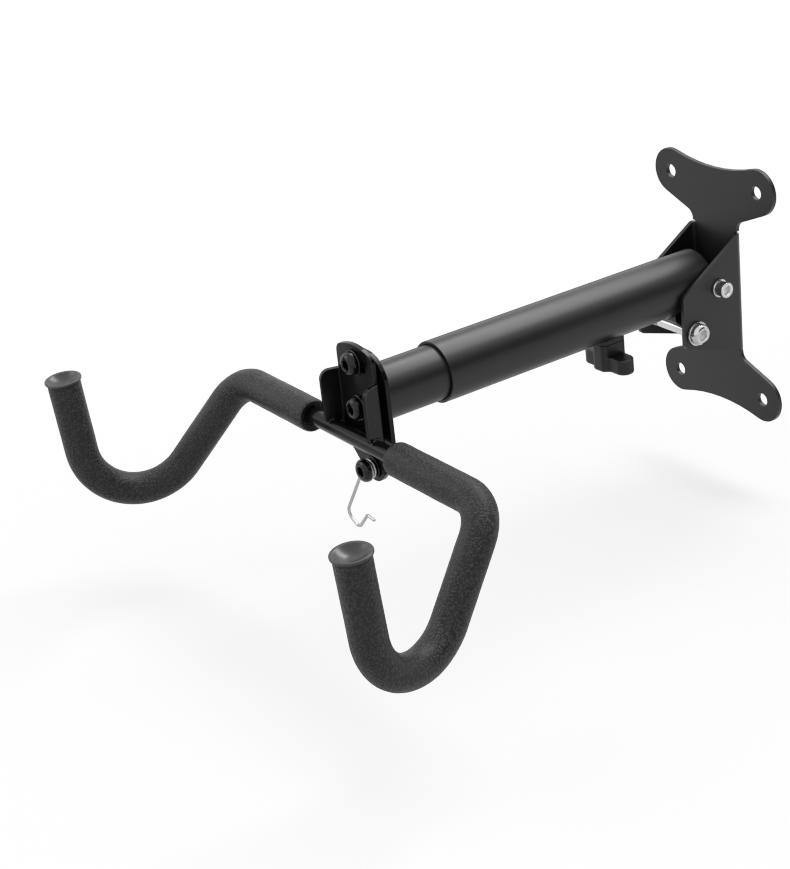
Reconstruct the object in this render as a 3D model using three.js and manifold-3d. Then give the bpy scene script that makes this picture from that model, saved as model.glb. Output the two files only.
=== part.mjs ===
// Folding wall rack for a bicycle. A plate on the wall carries an arm that slides out and lifts up.
// A head on the arm's end tilts, and two foam-covered hooks on it hold the bicycle by its top tube.
// Lengths are millimetres and angles are degrees. The wall is the plane y = 0, the arm runs along -Y
// with its axis on z = 0, +Z is up, and the bolt heads of the wall bracket look along +X.

import * as THREE from 'three';
import { mergeVertices } from 'three/addons/utils/BufferGeometryUtils.js';
import Module from 'manifold-3d';

const wasm = await Module();
wasm.setup();

// ---- fits ----
const CLEAR = 0.3; // between pieces that seat on, turn in or slide past each other
const SLIDE_FIT = 0.5; // round the inner tube inside the outer one
const CHEEK_FIT = 1; // between the outer tube and each cheek
const RELIEF = 1.5; // height of the slots that end a bend in sheet metal

// ---- wall bracket ----
const WALL_SHEET = 2.5;
const WALL_BEND = 2; // inner radius of the bends to the cheeks
const HOLE_PITCH_X = 78.6;
const HOLE_PITCH_Z = 141;
const SCREW_HOLE = 9;
const PLATE_DROP = 11; // the plate's middle below the arm's axis
const EAR_RADIUS = 15;
const CREST_RADIUS = 126; // hollow of the plate's top and bottom edges
const EAR_SLOPE = 22.5; // of the ear's inner side
const EAR_FILLET = 7;
const CHEEK_TOP = 28.5;
const CHEEK_BOTTOM = -50.5;
const CHEEK_LAND = 3; // depth of the cheek's level ends beside the plate
const CHEEK_EDGE = 10; // sheet left in front of the rest bolt
const CHEEK_BROW = -1; // height where the cheek's upper slant meets its front edge
const CHEEK_CORNER = 3;

// ---- bolts through the cheeks ----
const PIVOT_REACH = 21.5; // from the wall
const PIVOT_Z = -2;
const REST_REACH = 42;

// ---- arm ----
const OUTER_DIAMETER = 38;
const OUTER_WALL = 1.5;
const OUTER_START = 22.5; // from the wall to the tube's rear end
const OUTER_LENGTH = 207.7;
const BUSH_DIAMETER = 12;
const PAD_DEPTH = 3.7; // of the rest pad below the tube
const PAD_WIDTH = 22;
const PAD_LENGTH = 14;
const PAD_CHAMFER = 2;

// ---- slider ----
const INNER_WALL = 1.5;
const INNER_LENGTH = 191.5;
const INNER_TAIL = 11.3; // from the clamp screw to the inner tube's rear end
const CLAMP_REACH = 79.3; // from the wall to the clamp screw with the arm pushed in
const SLIDE_TRAVEL = 100;
const SLIDE_SHOWN = 17; // how far the arm is drawn out here

// ---- clamp knob and saddle ----
const SADDLE_WEB = 2; // thickness on the screw's axis
const HUB_WIDTH = 13; // across the arm, the saddle's too
const HUB_LENGTH = 19; // along the arm, the saddle's too
const HUB_CORNER = 4;
const HUB_HEIGHT = 7.4; // above the wings
const WING_HEIGHT = 10;
const WING_SPAN = 40;
const WING_WIDTH = 12;
const WING_BLEND = 4; // radius between a wing and the hub
const KNOB_FLOOR = 2.7; // plastic below the screw's end

// ---- head plate ----
const HEAD_SHEET = 2.5;
const HEAD_WIDTH = 46;
const HEAD_TOP = 30;
const HEAD_CORNER = 18;
const LOBE_RADIUS = 12.5;
const LOBE_EDGE = 8.6; // sheet left below the hook screw's axis
const TILT_Z = -4.6; // height of the tilt pivot
const LOCK_RADIUS = 28; // from the tilt pivot to the lock screw
const HOOK_DROP = 40.3; // from the tilt pivot to the hook screw
const PRESS_NUT = { across: 10.4, collar: 12, collarThick: 0.8 }; // set in the plate for the lock screw

// ---- tilt bracket ----
const TILT_SHEET = 2.5;
const TILT_BEND = 0.5;
const TILT_WIDTH = 42.6; // over the flanges, at their bends
const TILT_CROWN = 39; // radius of the top edge about the tilt pivot
const TILT_CORNER = 6;
const TILT_ANGLE = 15; // each way
const FLANGE_TOP = 15;
const FLANGE_DEPTH = 11.8; // in front of the web, along the flange
const FLANGE_SPLAY = 17; // degrees outwards from square
const FLANGE_BOTTOM = -17.5;
const FLANGE_CORNER = 6;
const WEB_BOTTOM = -24.5;

// ---- padded hooks, placed from the web's front face ----
const ROD_DIAMETER = 10;
const ROD_OFFSET = 6.2; // of the rod's axis in front of the web
const ROD_Z = -21.6;
const SHOULDER_X = 129.4; // corner where the rod turns forward
const SHOULDER_RADIUS = 23.3;
const TOE_X = 161.2; // corner at the bottom of the hook
const TOE_REACH = 101.5;
const TOE_Z = -132.8;
const TOE_RADIUS = 36.5;
const TIP_LEAN = 0.2; // of the tip inwards from the toe
const TIP_REACH = 111.6;
const TIP_Z = 3.3;
const FOAM_DIAMETER = 20.2;
const FOAM_START = 43.7;
const CAP_RIM_DIAMETER = 22.6;
const CAP_RIM = 1.4;
const CAP_LIP = 1.8; // width of the raised ring round the dish
const CAP_PLUG_DIAMETER = 17.6;
const CAP_DEPTH = 6;
const CAP_DISH = 3.5;

// ---- wire hook, drawn with its shank hanging down from the eye ----
const WIRE_DIAMETER = 1.6;
const EYE_RADIUS = 5.2;
const EYE_TURN = 566; // how far the eye winds round the screw, in two coils side by side
const EYE_PITCH = 1.9; // between the coils
const WIRE_DROP = 52;
const WIRE_BEND = 5;
const WIRE_LEAN = 33.6; // how far the wire hook is swung towards -X here

// ---- fasteners ----
const M6 = { shank: 6, across: 10, washer: 12, washerThick: 1.5 };
const M8 = { shank: 8, across: 13, washer: 16, washerThick: 1.6 };
const M8_SMALL = { ...M8, washer: 15 }; // spacers between the head plate and the tilt bracket
const M8_THIN = { ...M8, washer: 14, washerThick: 1 }; // washer behind the wire hook's eye
const CAP_HEAD = { diameter: 10, height: 6, lip: 5.4, crown: 8.8, socket: 5, socketDepth: 3 };
const BUTTON_HEAD = { diameter: 14, height: 4.4, lip: 0.9, crown: 8, socket: 6, socketDepth: 3 };
const M6_LOCK_NUT = 6; // heights, nylon collars included
const M8_LOCK_NUT = 8;
const M8_NUT = 6.5;
const NUT_COLLAR = 1.6;
const THREAD_SHOW = 1.5; // thread that stands out of a nut

// ---- fineness ----
const TUBE_SIDES = 48;
const HOLE_SIDES = 18;
const ROD_SIDES = 12;
const FOAM_SIDES = 18;
const BEND_STEP = 12; // degrees to a facet on a bent rod
const ARC_STEP = 10; // degrees to a facet on the outline of a sheet

// ---- values that follow from those above ----
const outerRadius = OUTER_DIAMETER / 2;
const outerBore = outerRadius - OUTER_WALL;
const innerRadius = outerBore - SLIDE_FIT;
const innerBore = innerRadius - INNER_WALL;
const cheekInner = outerRadius + CHEEK_FIT;
const cheekOuter = cheekInner + WALL_SHEET;
const padFace = -(outerRadius + PAD_DEPTH);
const restZ = padFace - CLEAR - M8.shank / 2;
const lockZ = TILT_Z + LOCK_RADIUS;
const hookScrewZ = TILT_Z - HOOK_DROP;
const webBack = HEAD_SHEET + M8_SMALL.washerThick + 2 * CLEAR; // from the head plate's back
const webFace = webBack + TILT_SHEET;
const eyeBack = HEAD_SHEET + M8_THIN.washerThick + 2 * CLEAR;
const m8Hole = M8.shank + 2 * CLEAR;
const m6Hole = M6.shank + 2 * CLEAR;

// ---- outlines ----

const rad = THREE.MathUtils.degToRad;
const at = (u, v) => new THREE.Vector2(u, v);
const flipU = (points) => points.map((p) => at(-p.x, p.y)).reverse();
const flipV = (points) => points.map((p) => at(p.x, -p.y)).reverse();
const shift = (points, u, v) => points.map((p) => at(p.x + u, p.y + v));

/** Points on an arc from one angle to another, both ends included. */
function arc(u, v, radius, from, to, steps = Math.ceil(Math.abs(to - from) / ARC_STEP)) {
  return Array.from({ length: steps + 1 }, (_, i) => {
    const angle = rad(from + ((to - from) * i) / steps);
    return at(u + radius * Math.cos(angle), v + radius * Math.sin(angle));
  });
}

/** A closed circle as a polygon. */
function circle(diameter, u = 0, v = 0, sides = HOLE_SIDES) {
  return arc(u, v, diameter / 2, 0, 360, sides).slice(1);
}

/** A polygon that a circle of this diameter fits inside, so that a round bar clears it. */
function bore(diameter, sides = HOLE_SIDES) {
  return circle(diameter / Math.cos(Math.PI / sides), 0, 0, sides);
}

/** A hexagon by its size across flats, with two flats level. */
function hexagon(across) {
  return circle(across / Math.cos(Math.PI / 6), 0, 0, 6);
}

/** The points of a bend of some radius at corner b, on the way from a to c, in 2-D or 3-D. */
function bend(a, b, c, radius, step = BEND_STEP) {
  const back = a.clone().sub(b).normalize();
  const on = c.clone().sub(b).normalize();
  const half = Math.acos(THREE.MathUtils.clamp(back.dot(on), -1, 1)) / 2;
  const centre = back.clone().add(on).normalize().multiplyScalar(radius / Math.sin(half)).add(b);
  const inward = centre.clone().sub(b).normalize();
  const along = on.clone().addScaledVector(inward, -on.dot(inward)).normalize();
  const sweep = Math.PI / 2 - half;
  const steps = Math.ceil((2 * sweep) / rad(step));
  return Array.from({ length: steps + 1 }, (_, i) => {
    const angle = sweep * ((2 * i) / steps - 1);
    return centre
      .clone()
      .addScaledVector(inward, -radius * Math.cos(angle))
      .addScaledVector(along, radius * Math.sin(angle));
  });
}

/** An open line through corners, each rounded to its own radius except the first and last. */
function bentLine(corners, radii) {
  const inner = radii.flatMap((radius, i) => bend(corners[i], corners[i + 1], corners[i + 2], radius));
  return [corners[0], ...inner, corners.at(-1)];
}

// ---- solids ----

/** Makes a cuttable solid of a closed three.js geometry. */
function toSolid(geometry) {
  geometry.deleteAttribute('normal');
  geometry.deleteAttribute('uv');
  const merged = mergeVertices(geometry, 1e-4);
  const index = merged.index.array;
  const kept = [];
  for (let i = 0; i < index.length; i += 3) {
    const [a, b, c] = index.slice(i, i + 3);
    if (a !== b && b !== c && c !== a) kept.push(a, b, c);
  }
  const vertProperties = merged.attributes.position.array;
  return new wasm.Manifold(new wasm.Mesh({ numProp: 3, vertProperties, triVerts: new Uint32Array(kept) }));
}

// How a prism drawn flat lies in space: its outline is in (y, z), (x, z) or (x, y).
const PRISM_FRAMES = {
  x: (low) => new THREE.Matrix4().set(0, 0, 1, low, 1, 0, 0, 0, 0, 1, 0, 0, 0, 0, 0, 1),
  y: (low, high) => new THREE.Matrix4().set(1, 0, 0, 0, 0, 0, -1, high, 0, 1, 0, 0, 0, 0, 0, 1),
  z: (low) => new THREE.Matrix4().makeTranslation(0, 0, low),
};

/** A prism along x, y or z between two values, with optional holes through it. */
function prism(axis, outline, low, high, holes = []) {
  const shape = new THREE.Shape(outline);
  shape.holes = holes.map((hole) => new THREE.Path(hole));
  const geometry = new THREE.ExtrudeGeometry(shape, { depth: high - low, bevelEnabled: false });
  return toSolid(geometry.applyMatrix4(PRISM_FRAMES[axis](low, high)));
}

/** A turned solid about z. Its profile runs upwards from axis to axis as [radius, z] pairs. */
function turned(profile, sides = HOLE_SIDES) {
  const points = profile.map(([radius, z]) => at(radius, z));
  return toSolid(new THREE.LatheGeometry(points, sides).rotateX(Math.PI / 2));
}

/** A path that steps from one given point to the next, whatever their distances. */
class StationPath extends THREE.Curve {
  constructor(stations) {
    super();
    this.stations = stations;
  }

  getPoint(t, target = new THREE.Vector3()) {
    const place = t * (this.stations.length - 1);
    const i = Math.min(Math.floor(place), this.stations.length - 2);
    return target.lerpVectors(this.stations[i], this.stations[i + 1], place - i);
  }

  getUtoTmapping(u) {
    return u;
  }
}

/** A section carried along a path of points. */
function swept(outline, stations, hole) {
  const shape = new THREE.Shape(outline);
  if (hole) shape.holes.push(new THREE.Path(hole));
  const extrudePath = new StationPath(stations);
  return toSolid(new THREE.ExtrudeGeometry(shape, { steps: stations.length - 1, extrudePath }));
}

/**
 * A channel of bent sheet that opens towards -Y: a back and two sides, with rounded bends.
 * Its back lies on y = 0, its sides stand at `half` and splay outwards by some degrees from there,
 * and `profile` in (y, z) trims each side square to its own face.
 */
function bentChannel(half, sheet, radius, profile, splay = 0) {
  const turn = half - sheet - radius;
  const deep = Math.min(...profile.map((p) => p.x)) - 1;
  const face = (r) => {
    const round = arc(turn, -sheet - radius, r, 90, splay);
    const end = round.at(-1);
    return [...round, at(end.x + (end.y - deep) * Math.tan(rad(splay)), deep)];
  };
  const trim = (side) => {
    const hinge = new THREE.Matrix4().makeTranslation(side * turn, -sheet - radius, 0);
    const swing = new THREE.Matrix4().makeRotationZ(side * rad(splay));
    const place = hinge.clone().multiply(swing).multiply(hinge.clone().invert());
    const range = side > 0 ? [-1, 2 * half] : [-2 * half, 1];
    return prism('x', profile, ...range).transform(place.toArray());
  };
  const section = [...face(sheet + radius), ...face(radius).reverse()];
  const heights = profile.map((p) => p.y);
  const channel = prism('z', [...section, ...flipU(section)], Math.min(...heights), Math.max(...heights));
  return channel.intersect(trim(1).add(trim(-1)));
}

// ---- meshes ----

const FINISHES = {
  satinBlack: { color: 0x1b1c1e, roughness: 0.42, metalness: 0.35 },
  glossBlack: { color: 0x121315, roughness: 0.25, metalness: 0.4 },
  chrome: { color: 0xc9ccd0, roughness: 0.16, metalness: 1 },
  zinc: { color: 0xb4b8bc, roughness: 0.3, metalness: 1 },
  plastic: { color: 0x161618, roughness: 0.5, metalness: 0 },
  foam: { color: 0x242527, roughness: 0.9, metalness: 0 },
};

/** A named mesh of a solid with its own material. */
function piece(name, solid, finish) {
  const { vertProperties, triVerts } = solid.getMesh();
  const geometry = new THREE.BufferGeometry();
  geometry.setAttribute('position', new THREE.BufferAttribute(vertProperties, 3));
  geometry.setIndex(new THREE.BufferAttribute(triVerts, 1));
  const material = new THREE.MeshStandardMaterial({ ...FINISHES[finish], flatShading: true });
  const mesh = new THREE.Mesh(geometry, material);
  mesh.name = name;
  return mesh;
}

/** A group of objects at a place. */
function assembly(place, ...objects) {
  const group = new THREE.Group();
  group.position.set(...place);
  group.add(...objects);
  return group;
}

// ---- fasteners, along z with the seat of the head on z = 0 ----

/** A screw with a domed head and a hexagon socket. */
function screw(size, head, length) {
  const radius = size.shank / 2;
  const crown = head.crown / 2;
  const dome = arc(0, 0, 1, 0, 90, 4).map(({ x, y }) => [
    crown + (head.diameter / 2 - crown) * x,
    head.lip + (head.height - head.lip) * y,
  ]);
  const end = [[0, -length], [radius - 0.8, -length], [radius, 0.8 - length]];
  const body = turned([...end, [radius, 0], [head.diameter / 2, 0], ...dome, [0, head.height]]);
  const socket = hexagon(head.socket);
  return body.subtract(prism('z', socket, head.height - head.socketDepth, head.height + 1));
}

/** A flat washer that lies on z = 0. */
function washer(size) {
  return prism('z', circle(size.washer), 0, size.washerThick, [bore(size.shank + 2 * CLEAR)]);
}

/** A hexagon nut with chamfered corners, hanging below z = 0, with a nylon collar if it has one. */
function nut(size, height, collar = 0) {
  const flat = size.across / 2;
  const corner = flat / Math.cos(Math.PI / 6) + 0.1;
  const chamfer = (corner - flat) * Math.tan(rad(30));
  const foot = collar - height;
  const barrel = [[0, foot], [flat, foot], [corner, foot + chamfer], [corner, -chamfer], [flat, 0], [0, 0]];
  let body = prism('z', hexagon(size.across), foot, 0).intersect(turned(barrel));
  if (collar) body = body.add(prism('z', circle(size.across - 1.6), -height, foot + 0.5));
  return body.subtract(prism('z', bore(size.shank + 2 * CLEAR), -height - 1, 1));
}

/**
 * Screw, washers and nut that clamp a stack, along z. The stack's near face is z = 0 and its far
 * face is z = -grip. `names` holds screw, washer, nut and, where there is one, the far washer.
 */
function boltStack(names, size, head, grip, nutHeight, collar, finish) {
  const headSeat = size.washerThick + 2 * CLEAR;
  const farWasher = names.length > 3 ? size.washerThick + CLEAR : 0;
  const nutSeat = -grip - farWasher - CLEAR;
  const length = headSeat - nutSeat + nutHeight + THREAD_SHOW;
  const stack = [
    piece(names[0], screw(size, head, length).translate([0, 0, headSeat]), finish),
    piece(names[1], washer(size).translate([0, 0, CLEAR]), 'chrome'),
    piece(names[2], nut(size, nutHeight, collar).translate([0, 0, nutSeat]), 'chrome'),
  ];
  if (farWasher) {
    stack.push(piece(names[3], washer(size).translate([0, 0, -grip - farWasher]), 'chrome'));
  }
  return stack;
}

// ---- wall bracket ----

/** A quarter of the plate's outline, from the middle of its top edge to its neck, about its middle. */
function plateQuarter(neck, neckTop) {
  const ear = at(HOLE_PITCH_X / 2, HOLE_PITCH_Z / 2);
  const lean = THREE.MathUtils.radToDeg(Math.asin(ear.x / (CREST_RADIUS + EAR_RADIUS)));
  const crestV = ear.y + (CREST_RADIUS + EAR_RADIUS) * Math.cos(rad(lean));
  const out = at(Math.sin(rad(EAR_SLOPE)), -Math.cos(rad(EAR_SLOPE)));
  const filletU = neck + EAR_FILLET;
  const filletV = (out.x * filletU - out.dot(ear) - EAR_RADIUS - EAR_FILLET) / -out.y;
  return [
    ...arc(0, crestV, CREST_RADIUS, -90, lean - 90, 4),
    ...arc(ear.x, ear.y, EAR_RADIUS, 90 + lean, EAR_SLOPE - 90).slice(1),
    ...arc(filletU, filletV, EAR_FILLET, 90 + EAR_SLOPE, 180),
    at(neck, neckTop),
    at(neck - WALL_BEND, neckTop),
  ];
}

/** Side outline of the two cheeks in (y, z). */
function cheekProfile() {
  const front = -(REST_REACH + CHEEK_EDGE);
  const chin = restZ - CHEEK_EDGE + 2;
  const corners = [
    at(1, CHEEK_TOP),
    at(-CHEEK_LAND, CHEEK_TOP),
    at(front, CHEEK_BROW),
    at(front, chin),
    at(-CHEEK_LAND, CHEEK_BOTTOM),
    at(1, CHEEK_BOTTOM),
  ];
  return bentLine(corners, [CHEEK_CORNER, CHEEK_CORNER, CHEEK_CORNER, CHEEK_CORNER]);
}

/** One sheet: a plate with four ears, and two cheeks bent out to hold the arm. */
function wallBracket() {
  const neckTop = CHEEK_TOP + RELIEF + PLATE_DROP;
  const upperRight = plateQuarter(cheekInner, neckTop);
  const right = [...upperRight, ...flipV(upperRight)];
  const outline = shift([...right, ...flipU(right).slice(1, -1)], 0, -PLATE_DROP);
  const plate = prism('y', outline, -WALL_SHEET, 0);
  const cheeks = bentChannel(cheekOuter, WALL_SHEET, WALL_BEND, cheekProfile());
  let bracket = plate.add(cheeks);
  for (const side of [-1, 1]) {
    for (const end of [-1, 1]) {
      const v = (end * HOLE_PITCH_Z) / 2 - PLATE_DROP;
      const hole = circle(SCREW_HOLE, (side * HOLE_PITCH_X) / 2, v);
      bracket = bracket.subtract(prism('y', hole, -WALL_SHEET - 1, 1));
    }
  }
  const bolts = [circle(m6Hole, -PIVOT_REACH, PIVOT_Z), circle(m8Hole, -REST_REACH, restZ)];
  for (const hole of bolts) bracket = bracket.subtract(prism('x', hole, -cheekOuter - 1, cheekOuter + 1));
  return piece('wall_bracket', bracket, 'satinBlack');
}

/** The bolts through the cheeks: the arm turns on one and comes to rest on the other. */
function cheekBolts() {
  const pivot = boltStack(
    ['pivot_bolt', 'pivot_washer_near', 'pivot_nut', 'pivot_washer_far'],
    M6, CAP_HEAD, 2 * cheekOuter, M6_LOCK_NUT, NUT_COLLAR, 'chrome',
  );
  const rest = boltStack(
    ['rest_bolt', 'rest_washer_near', 'rest_nut', 'rest_washer_far'],
    M8, BUTTON_HEAD, 2 * cheekOuter, M8_LOCK_NUT, NUT_COLLAR, 'chrome',
  );
  const pivotGroup = assembly([cheekOuter, -PIVOT_REACH, PIVOT_Z], ...pivot);
  const restGroup = assembly([cheekOuter, -REST_REACH, restZ], ...rest);
  pivotGroup.rotation.y = Math.PI / 2;
  restGroup.rotation.y = Math.PI / 2;
  return [pivotGroup, restGroup];
}

// ---- arm ----

/** The slot under the outer tube, which the clamp screw runs in. */
function clampSlot() {
  const radius = M8.shank / 2 + SLIDE_FIT;
  const rear = arc(0, -CLAMP_REACH, radius, 0, 180, 8);
  const front = arc(0, -CLAMP_REACH - SLIDE_TRAVEL, radius, 180, 360, 8);
  return prism('z', [...rear, ...front], -outerRadius - 1, 0);
}

/** The outer tube, notched at its rear end for the bush that it turns on. */
function outerTube() {
  const round = (diameter) => circle(diameter, 0, 0, TUBE_SIDES);
  const end = -OUTER_START - OUTER_LENGTH;
  const tube = prism('y', round(OUTER_DIAMETER), end, -OUTER_START, [round(2 * outerBore)]);
  const notch = circle(BUSH_DIAMETER + 2 * CLEAR, -PIVOT_REACH, PIVOT_Z);
  const cut = tube.subtract(prism('x', notch, -cheekInner, cheekInner));
  return piece('outer_tube', cut.subtract(clampSlot()), 'satinBlack');
}

/** The bush across the tube's end, welded into its notches. */
function pivotBush() {
  const half = cheekInner - CLEAR;
  const bush = prism('x', circle(BUSH_DIAMETER), -half, half, [bore(m6Hole)]);
  return piece('pivot_bush', bush.translate([0, -PIVOT_REACH, PIVOT_Z]), 'satinBlack');
}

/** The block under the tube that lies on the rest bolt. */
function restPad() {
  const half = PAD_LENGTH / 2;
  const profile = [
    at(half, 0),
    at(-half, 0),
    at(-half, padFace + PAD_CHAMFER),
    at(PAD_CHAMFER - half, padFace),
    at(half - PAD_CHAMFER, padFace),
    at(half, padFace + PAD_CHAMFER),
  ];
  const block = prism('x', shift(profile, -REST_REACH, 0), -PAD_WIDTH / 2, PAD_WIDTH / 2);
  return piece('rest_pad', block.subtract(tubeSeat(REST_REACH, PAD_LENGTH)), 'satinBlack');
}

/** What the outer tube and its clearance take out of a piece that seats below it. */
function tubeSeat(reach, length) {
  const round = circle(OUTER_DIAMETER + 2 * CLEAR, 0, 0, TUBE_SIDES);
  return prism('y', round, -reach - length, -reach + length);
}

// ---- slider, about the clamp screw's axis ----

/** The inner tube, with a hole for the clamp screw. */
function innerTube() {
  const round = (diameter) => circle(diameter, 0, 0, TUBE_SIDES);
  const tube = prism('y', round(2 * innerRadius), INNER_TAIL - INNER_LENGTH, INNER_TAIL, [
    round(2 * innerBore),
  ]);
  const hole = prism('z', circle(m8Hole), -outerRadius, 0);
  return piece('inner_tube', tube.subtract(hole), 'satinBlack');
}

/** The plan of the knob's hub and of the saddle above it: a rectangle with rounded corners. */
function hubPlan() {
  const quarter = arc(HUB_WIDTH / 2 - HUB_CORNER, HUB_LENGTH / 2 - HUB_CORNER, HUB_CORNER, 0, 90, 5);
  const half = [...quarter, ...flipU(quarter)];
  return [...half, ...flipV(half)];
}

/** The saddle that the knob pulls against the outer tube, on both sides of its slot. */
function clampSaddle() {
  const block = prism('z', hubPlan(), -outerRadius - CLEAR - SADDLE_WEB, 0, [bore(m8Hole)]);
  return piece('clamp_saddle', block.subtract(tubeSeat(0, HUB_LENGTH)), 'plastic');
}

/** Height at which the nut's corners would touch the inner tube's bore, plus the clearance. */
function slideNutFoot() {
  const corner = M8.across / Math.sqrt(3);
  return CLEAR - Math.sqrt(innerBore ** 2 - corner ** 2);
}

/** The nut inside the inner tube. */
function slideNut() {
  const body = nut(M8, M8_NUT).translate([0, 0, slideNutFoot() + M8_NUT]);
  return piece('slide_nut', body, 'zinc');
}

/** A quarter of the knob's plan: a wing with its round end, a hollow blend and the hub's corner. */
function knobQuarter() {
  const wing = WING_WIDTH / 2;
  const cornerU = HUB_WIDTH / 2 - HUB_CORNER;
  const cornerV = HUB_LENGTH / 2 - HUB_CORNER;
  const blendV = wing + WING_BLEND;
  const blendU = cornerU + Math.sqrt((HUB_CORNER + WING_BLEND) ** 2 - (blendV - cornerV) ** 2);
  const angle = THREE.MathUtils.radToDeg(Math.atan2(blendV - cornerV, blendU - cornerU));
  return [
    ...arc(WING_SPAN / 2 - wing, 0, wing, 0, 90, 6),
    ...arc(blendU, blendV, WING_BLEND, 270, 180 + angle, 4),
    ...arc(cornerU, cornerV, HUB_CORNER, angle, 90, 3).slice(1),
  ];
}

/** The two-winged knob and the screw moulded into it, which turn together. */
function clampKnob() {
  const top = -outerRadius - SADDLE_WEB - 2 * CLEAR;
  const shoulder = top - HUB_HEIGHT;
  const foot = shoulder - WING_HEIGHT;
  const half = [...knobQuarter(), ...flipU(knobQuarter())];
  const plan = [...half, ...flipV(half).slice(1, -1)];
  const hub = prism('z', hubPlan(), shoulder - 1, top);
  const well = prism('z', bore(m8Hole), foot + KNOB_FLOOR, top + 1);
  const knob = prism('z', plan, foot, shoulder).add(hub).subtract(well);
  const screwFoot = foot + KNOB_FLOOR + CLEAR;
  const screwTop = slideNutFoot() + M8_NUT - THREAD_SHOW;
  const shaft = prism('z', circle(M8.shank), screwFoot, screwTop);
  return [piece('wing_knob', knob, 'plastic'), piece('clamp_screw', shaft, 'zinc')];
}

// ---- head, measured forward from the head plate's back ----

/** The plate across the inner tube's end, with a lobe below for the hook screw. */
function headPlate() {
  const half = HEAD_WIDTH / 2;
  const lobeZ = hookScrewZ - LOBE_EDGE + LOBE_RADIUS;
  const slant = LOBE_RADIUS * Math.SQRT1_2;
  const right = [
    ...arc(half - HEAD_CORNER, HEAD_TOP - HEAD_CORNER, HEAD_CORNER, 90, 0),
    at(half, lobeZ - slant + (half - slant)),
    ...arc(0, lobeZ, LOBE_RADIUS, -45, -90, 5),
  ];
  const holes = [
    circle(PRESS_NUT.across + 2 * CLEAR, 0, lockZ),
    circle(m8Hole, 0, TILT_Z),
    circle(m8Hole, 0, hookScrewZ),
  ];
  const plate = prism('y', [...right, ...flipU(right).slice(1)], -HEAD_SHEET, 0, holes);
  return piece('head_plate', plate, 'glossBlack');
}

/** The round nut set in the head plate from behind, with a thin collar on the plate's back. */
function pressNut() {
  const collar = prism('z', circle(PRESS_NUT.collar), -PRESS_NUT.collarThick, 0);
  const barrel = prism('z', circle(PRESS_NUT.across), -PRESS_NUT.collarThick, HEAD_SHEET - 0.2);
  return collar.add(barrel).subtract(prism('z', bore(m8Hole), -HEAD_SHEET, HEAD_SHEET + 1));
}

/** A screw's pieces, made along z with the head plate's back on z = 0, turned to look forward. */
function throughPlate(z, ...pieces) {
  const group = assembly([0, 0, z], ...pieces);
  group.rotation.x = Math.PI / 2;
  return group;
}

/** The upper screw, which clamps the tilt bracket through its slot and ends in the press nut. */
function tiltLock() {
  const seat = webFace + M8.washerThick + 2 * CLEAR;
  const length = seat + PRESS_NUT.collarThick + CLEAR;
  return throughPlate(
    lockZ,
    piece('tilt_lock_screw', screw(M8, BUTTON_HEAD, length).translate([0, 0, seat]), 'glossBlack'),
    piece('tilt_lock_washer', washer(M8).translate([0, 0, webFace + CLEAR]), 'glossBlack'),
    piece('tilt_lock_spacer', washer(M8_SMALL).translate([0, 0, HEAD_SHEET + CLEAR]), 'glossBlack'),
    piece('tilt_lock_nut', pressNut().translate([0, 0, -CLEAR]), 'glossBlack'),
  );
}

/** The middle screw, which the tilt bracket turns on. */
function tiltPivot() {
  const names = ['tilt_pivot_screw', 'tilt_pivot_washer', 'tilt_pivot_nut'];
  const stack = boltStack(names, M8, BUTTON_HEAD, webFace, M8_NUT, 0, 'glossBlack');
  const clamped = assembly([0, 0, webFace], ...stack);
  const spacer = washer(M8_SMALL).translate([0, 0, HEAD_SHEET + CLEAR]);
  return throughPlate(TILT_Z, clamped, piece('tilt_pivot_spacer', spacer, 'glossBlack'));
}

/** The lower screw: its head lies on the wire hook's eye, and a thin washer lies behind the eye. */
function hookStack() {
  const seat = eyeBack + WIRE_DIAMETER + EYE_PITCH + CLEAR;
  const length = seat + CLEAR + M8_NUT + THREAD_SHOW;
  return throughPlate(
    hookScrewZ,
    piece('hook_screw', screw(M8, BUTTON_HEAD, length).translate([0, 0, seat]), 'glossBlack'),
    piece('hook_washer', washer(M8_THIN).translate([0, 0, HEAD_SHEET + CLEAR]), 'glossBlack'),
    piece('hook_nut', nut(M8, M8_NUT).translate([0, 0, -CLEAR]), 'chrome'),
  );
}

/** Outline of the tilt bracket's web: as wide as its bends lie apart, with an arc about the tilt pivot. */
function webOutline() {
  const half = TILT_WIDTH / 2 - TILT_SHEET - TILT_BEND;
  const cornerU = half - TILT_CORNER;
  const cornerV = Math.sqrt((TILT_CROWN - TILT_CORNER) ** 2 - cornerU ** 2);
  const angle = THREE.MathUtils.radToDeg(Math.atan2(cornerV, cornerU));
  const right = [
    at(half, WEB_BOTTOM),
    ...arc(cornerU, TILT_Z + cornerV, TILT_CORNER, 0, angle, 5),
    ...arc(0, TILT_Z, TILT_CROWN, angle, 90, 4).slice(1),
  ];
  return [...right, ...flipU(right).slice(1)];
}

/** The curved slot that the lock screw runs in when the head tilts. */
function lockSlot() {
  const half = m8Hole / 2;
  const end = (angle, from) =>
    arc(LOCK_RADIUS * Math.cos(rad(angle)), LOCK_RADIUS * Math.sin(rad(angle)), half, from, from + 180, 8);
  const right = 90 - TILT_ANGLE;
  const left = 90 + TILT_ANGLE;
  const outline = [
    ...end(right, right - 180),
    ...arc(0, 0, LOCK_RADIUS + half, right, left, 4).slice(1, -1),
    ...end(left, left),
    ...arc(0, 0, LOCK_RADIUS - half, left, right, 4).slice(1, -1),
  ];
  return shift(outline, 0, TILT_Z);
}

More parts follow.
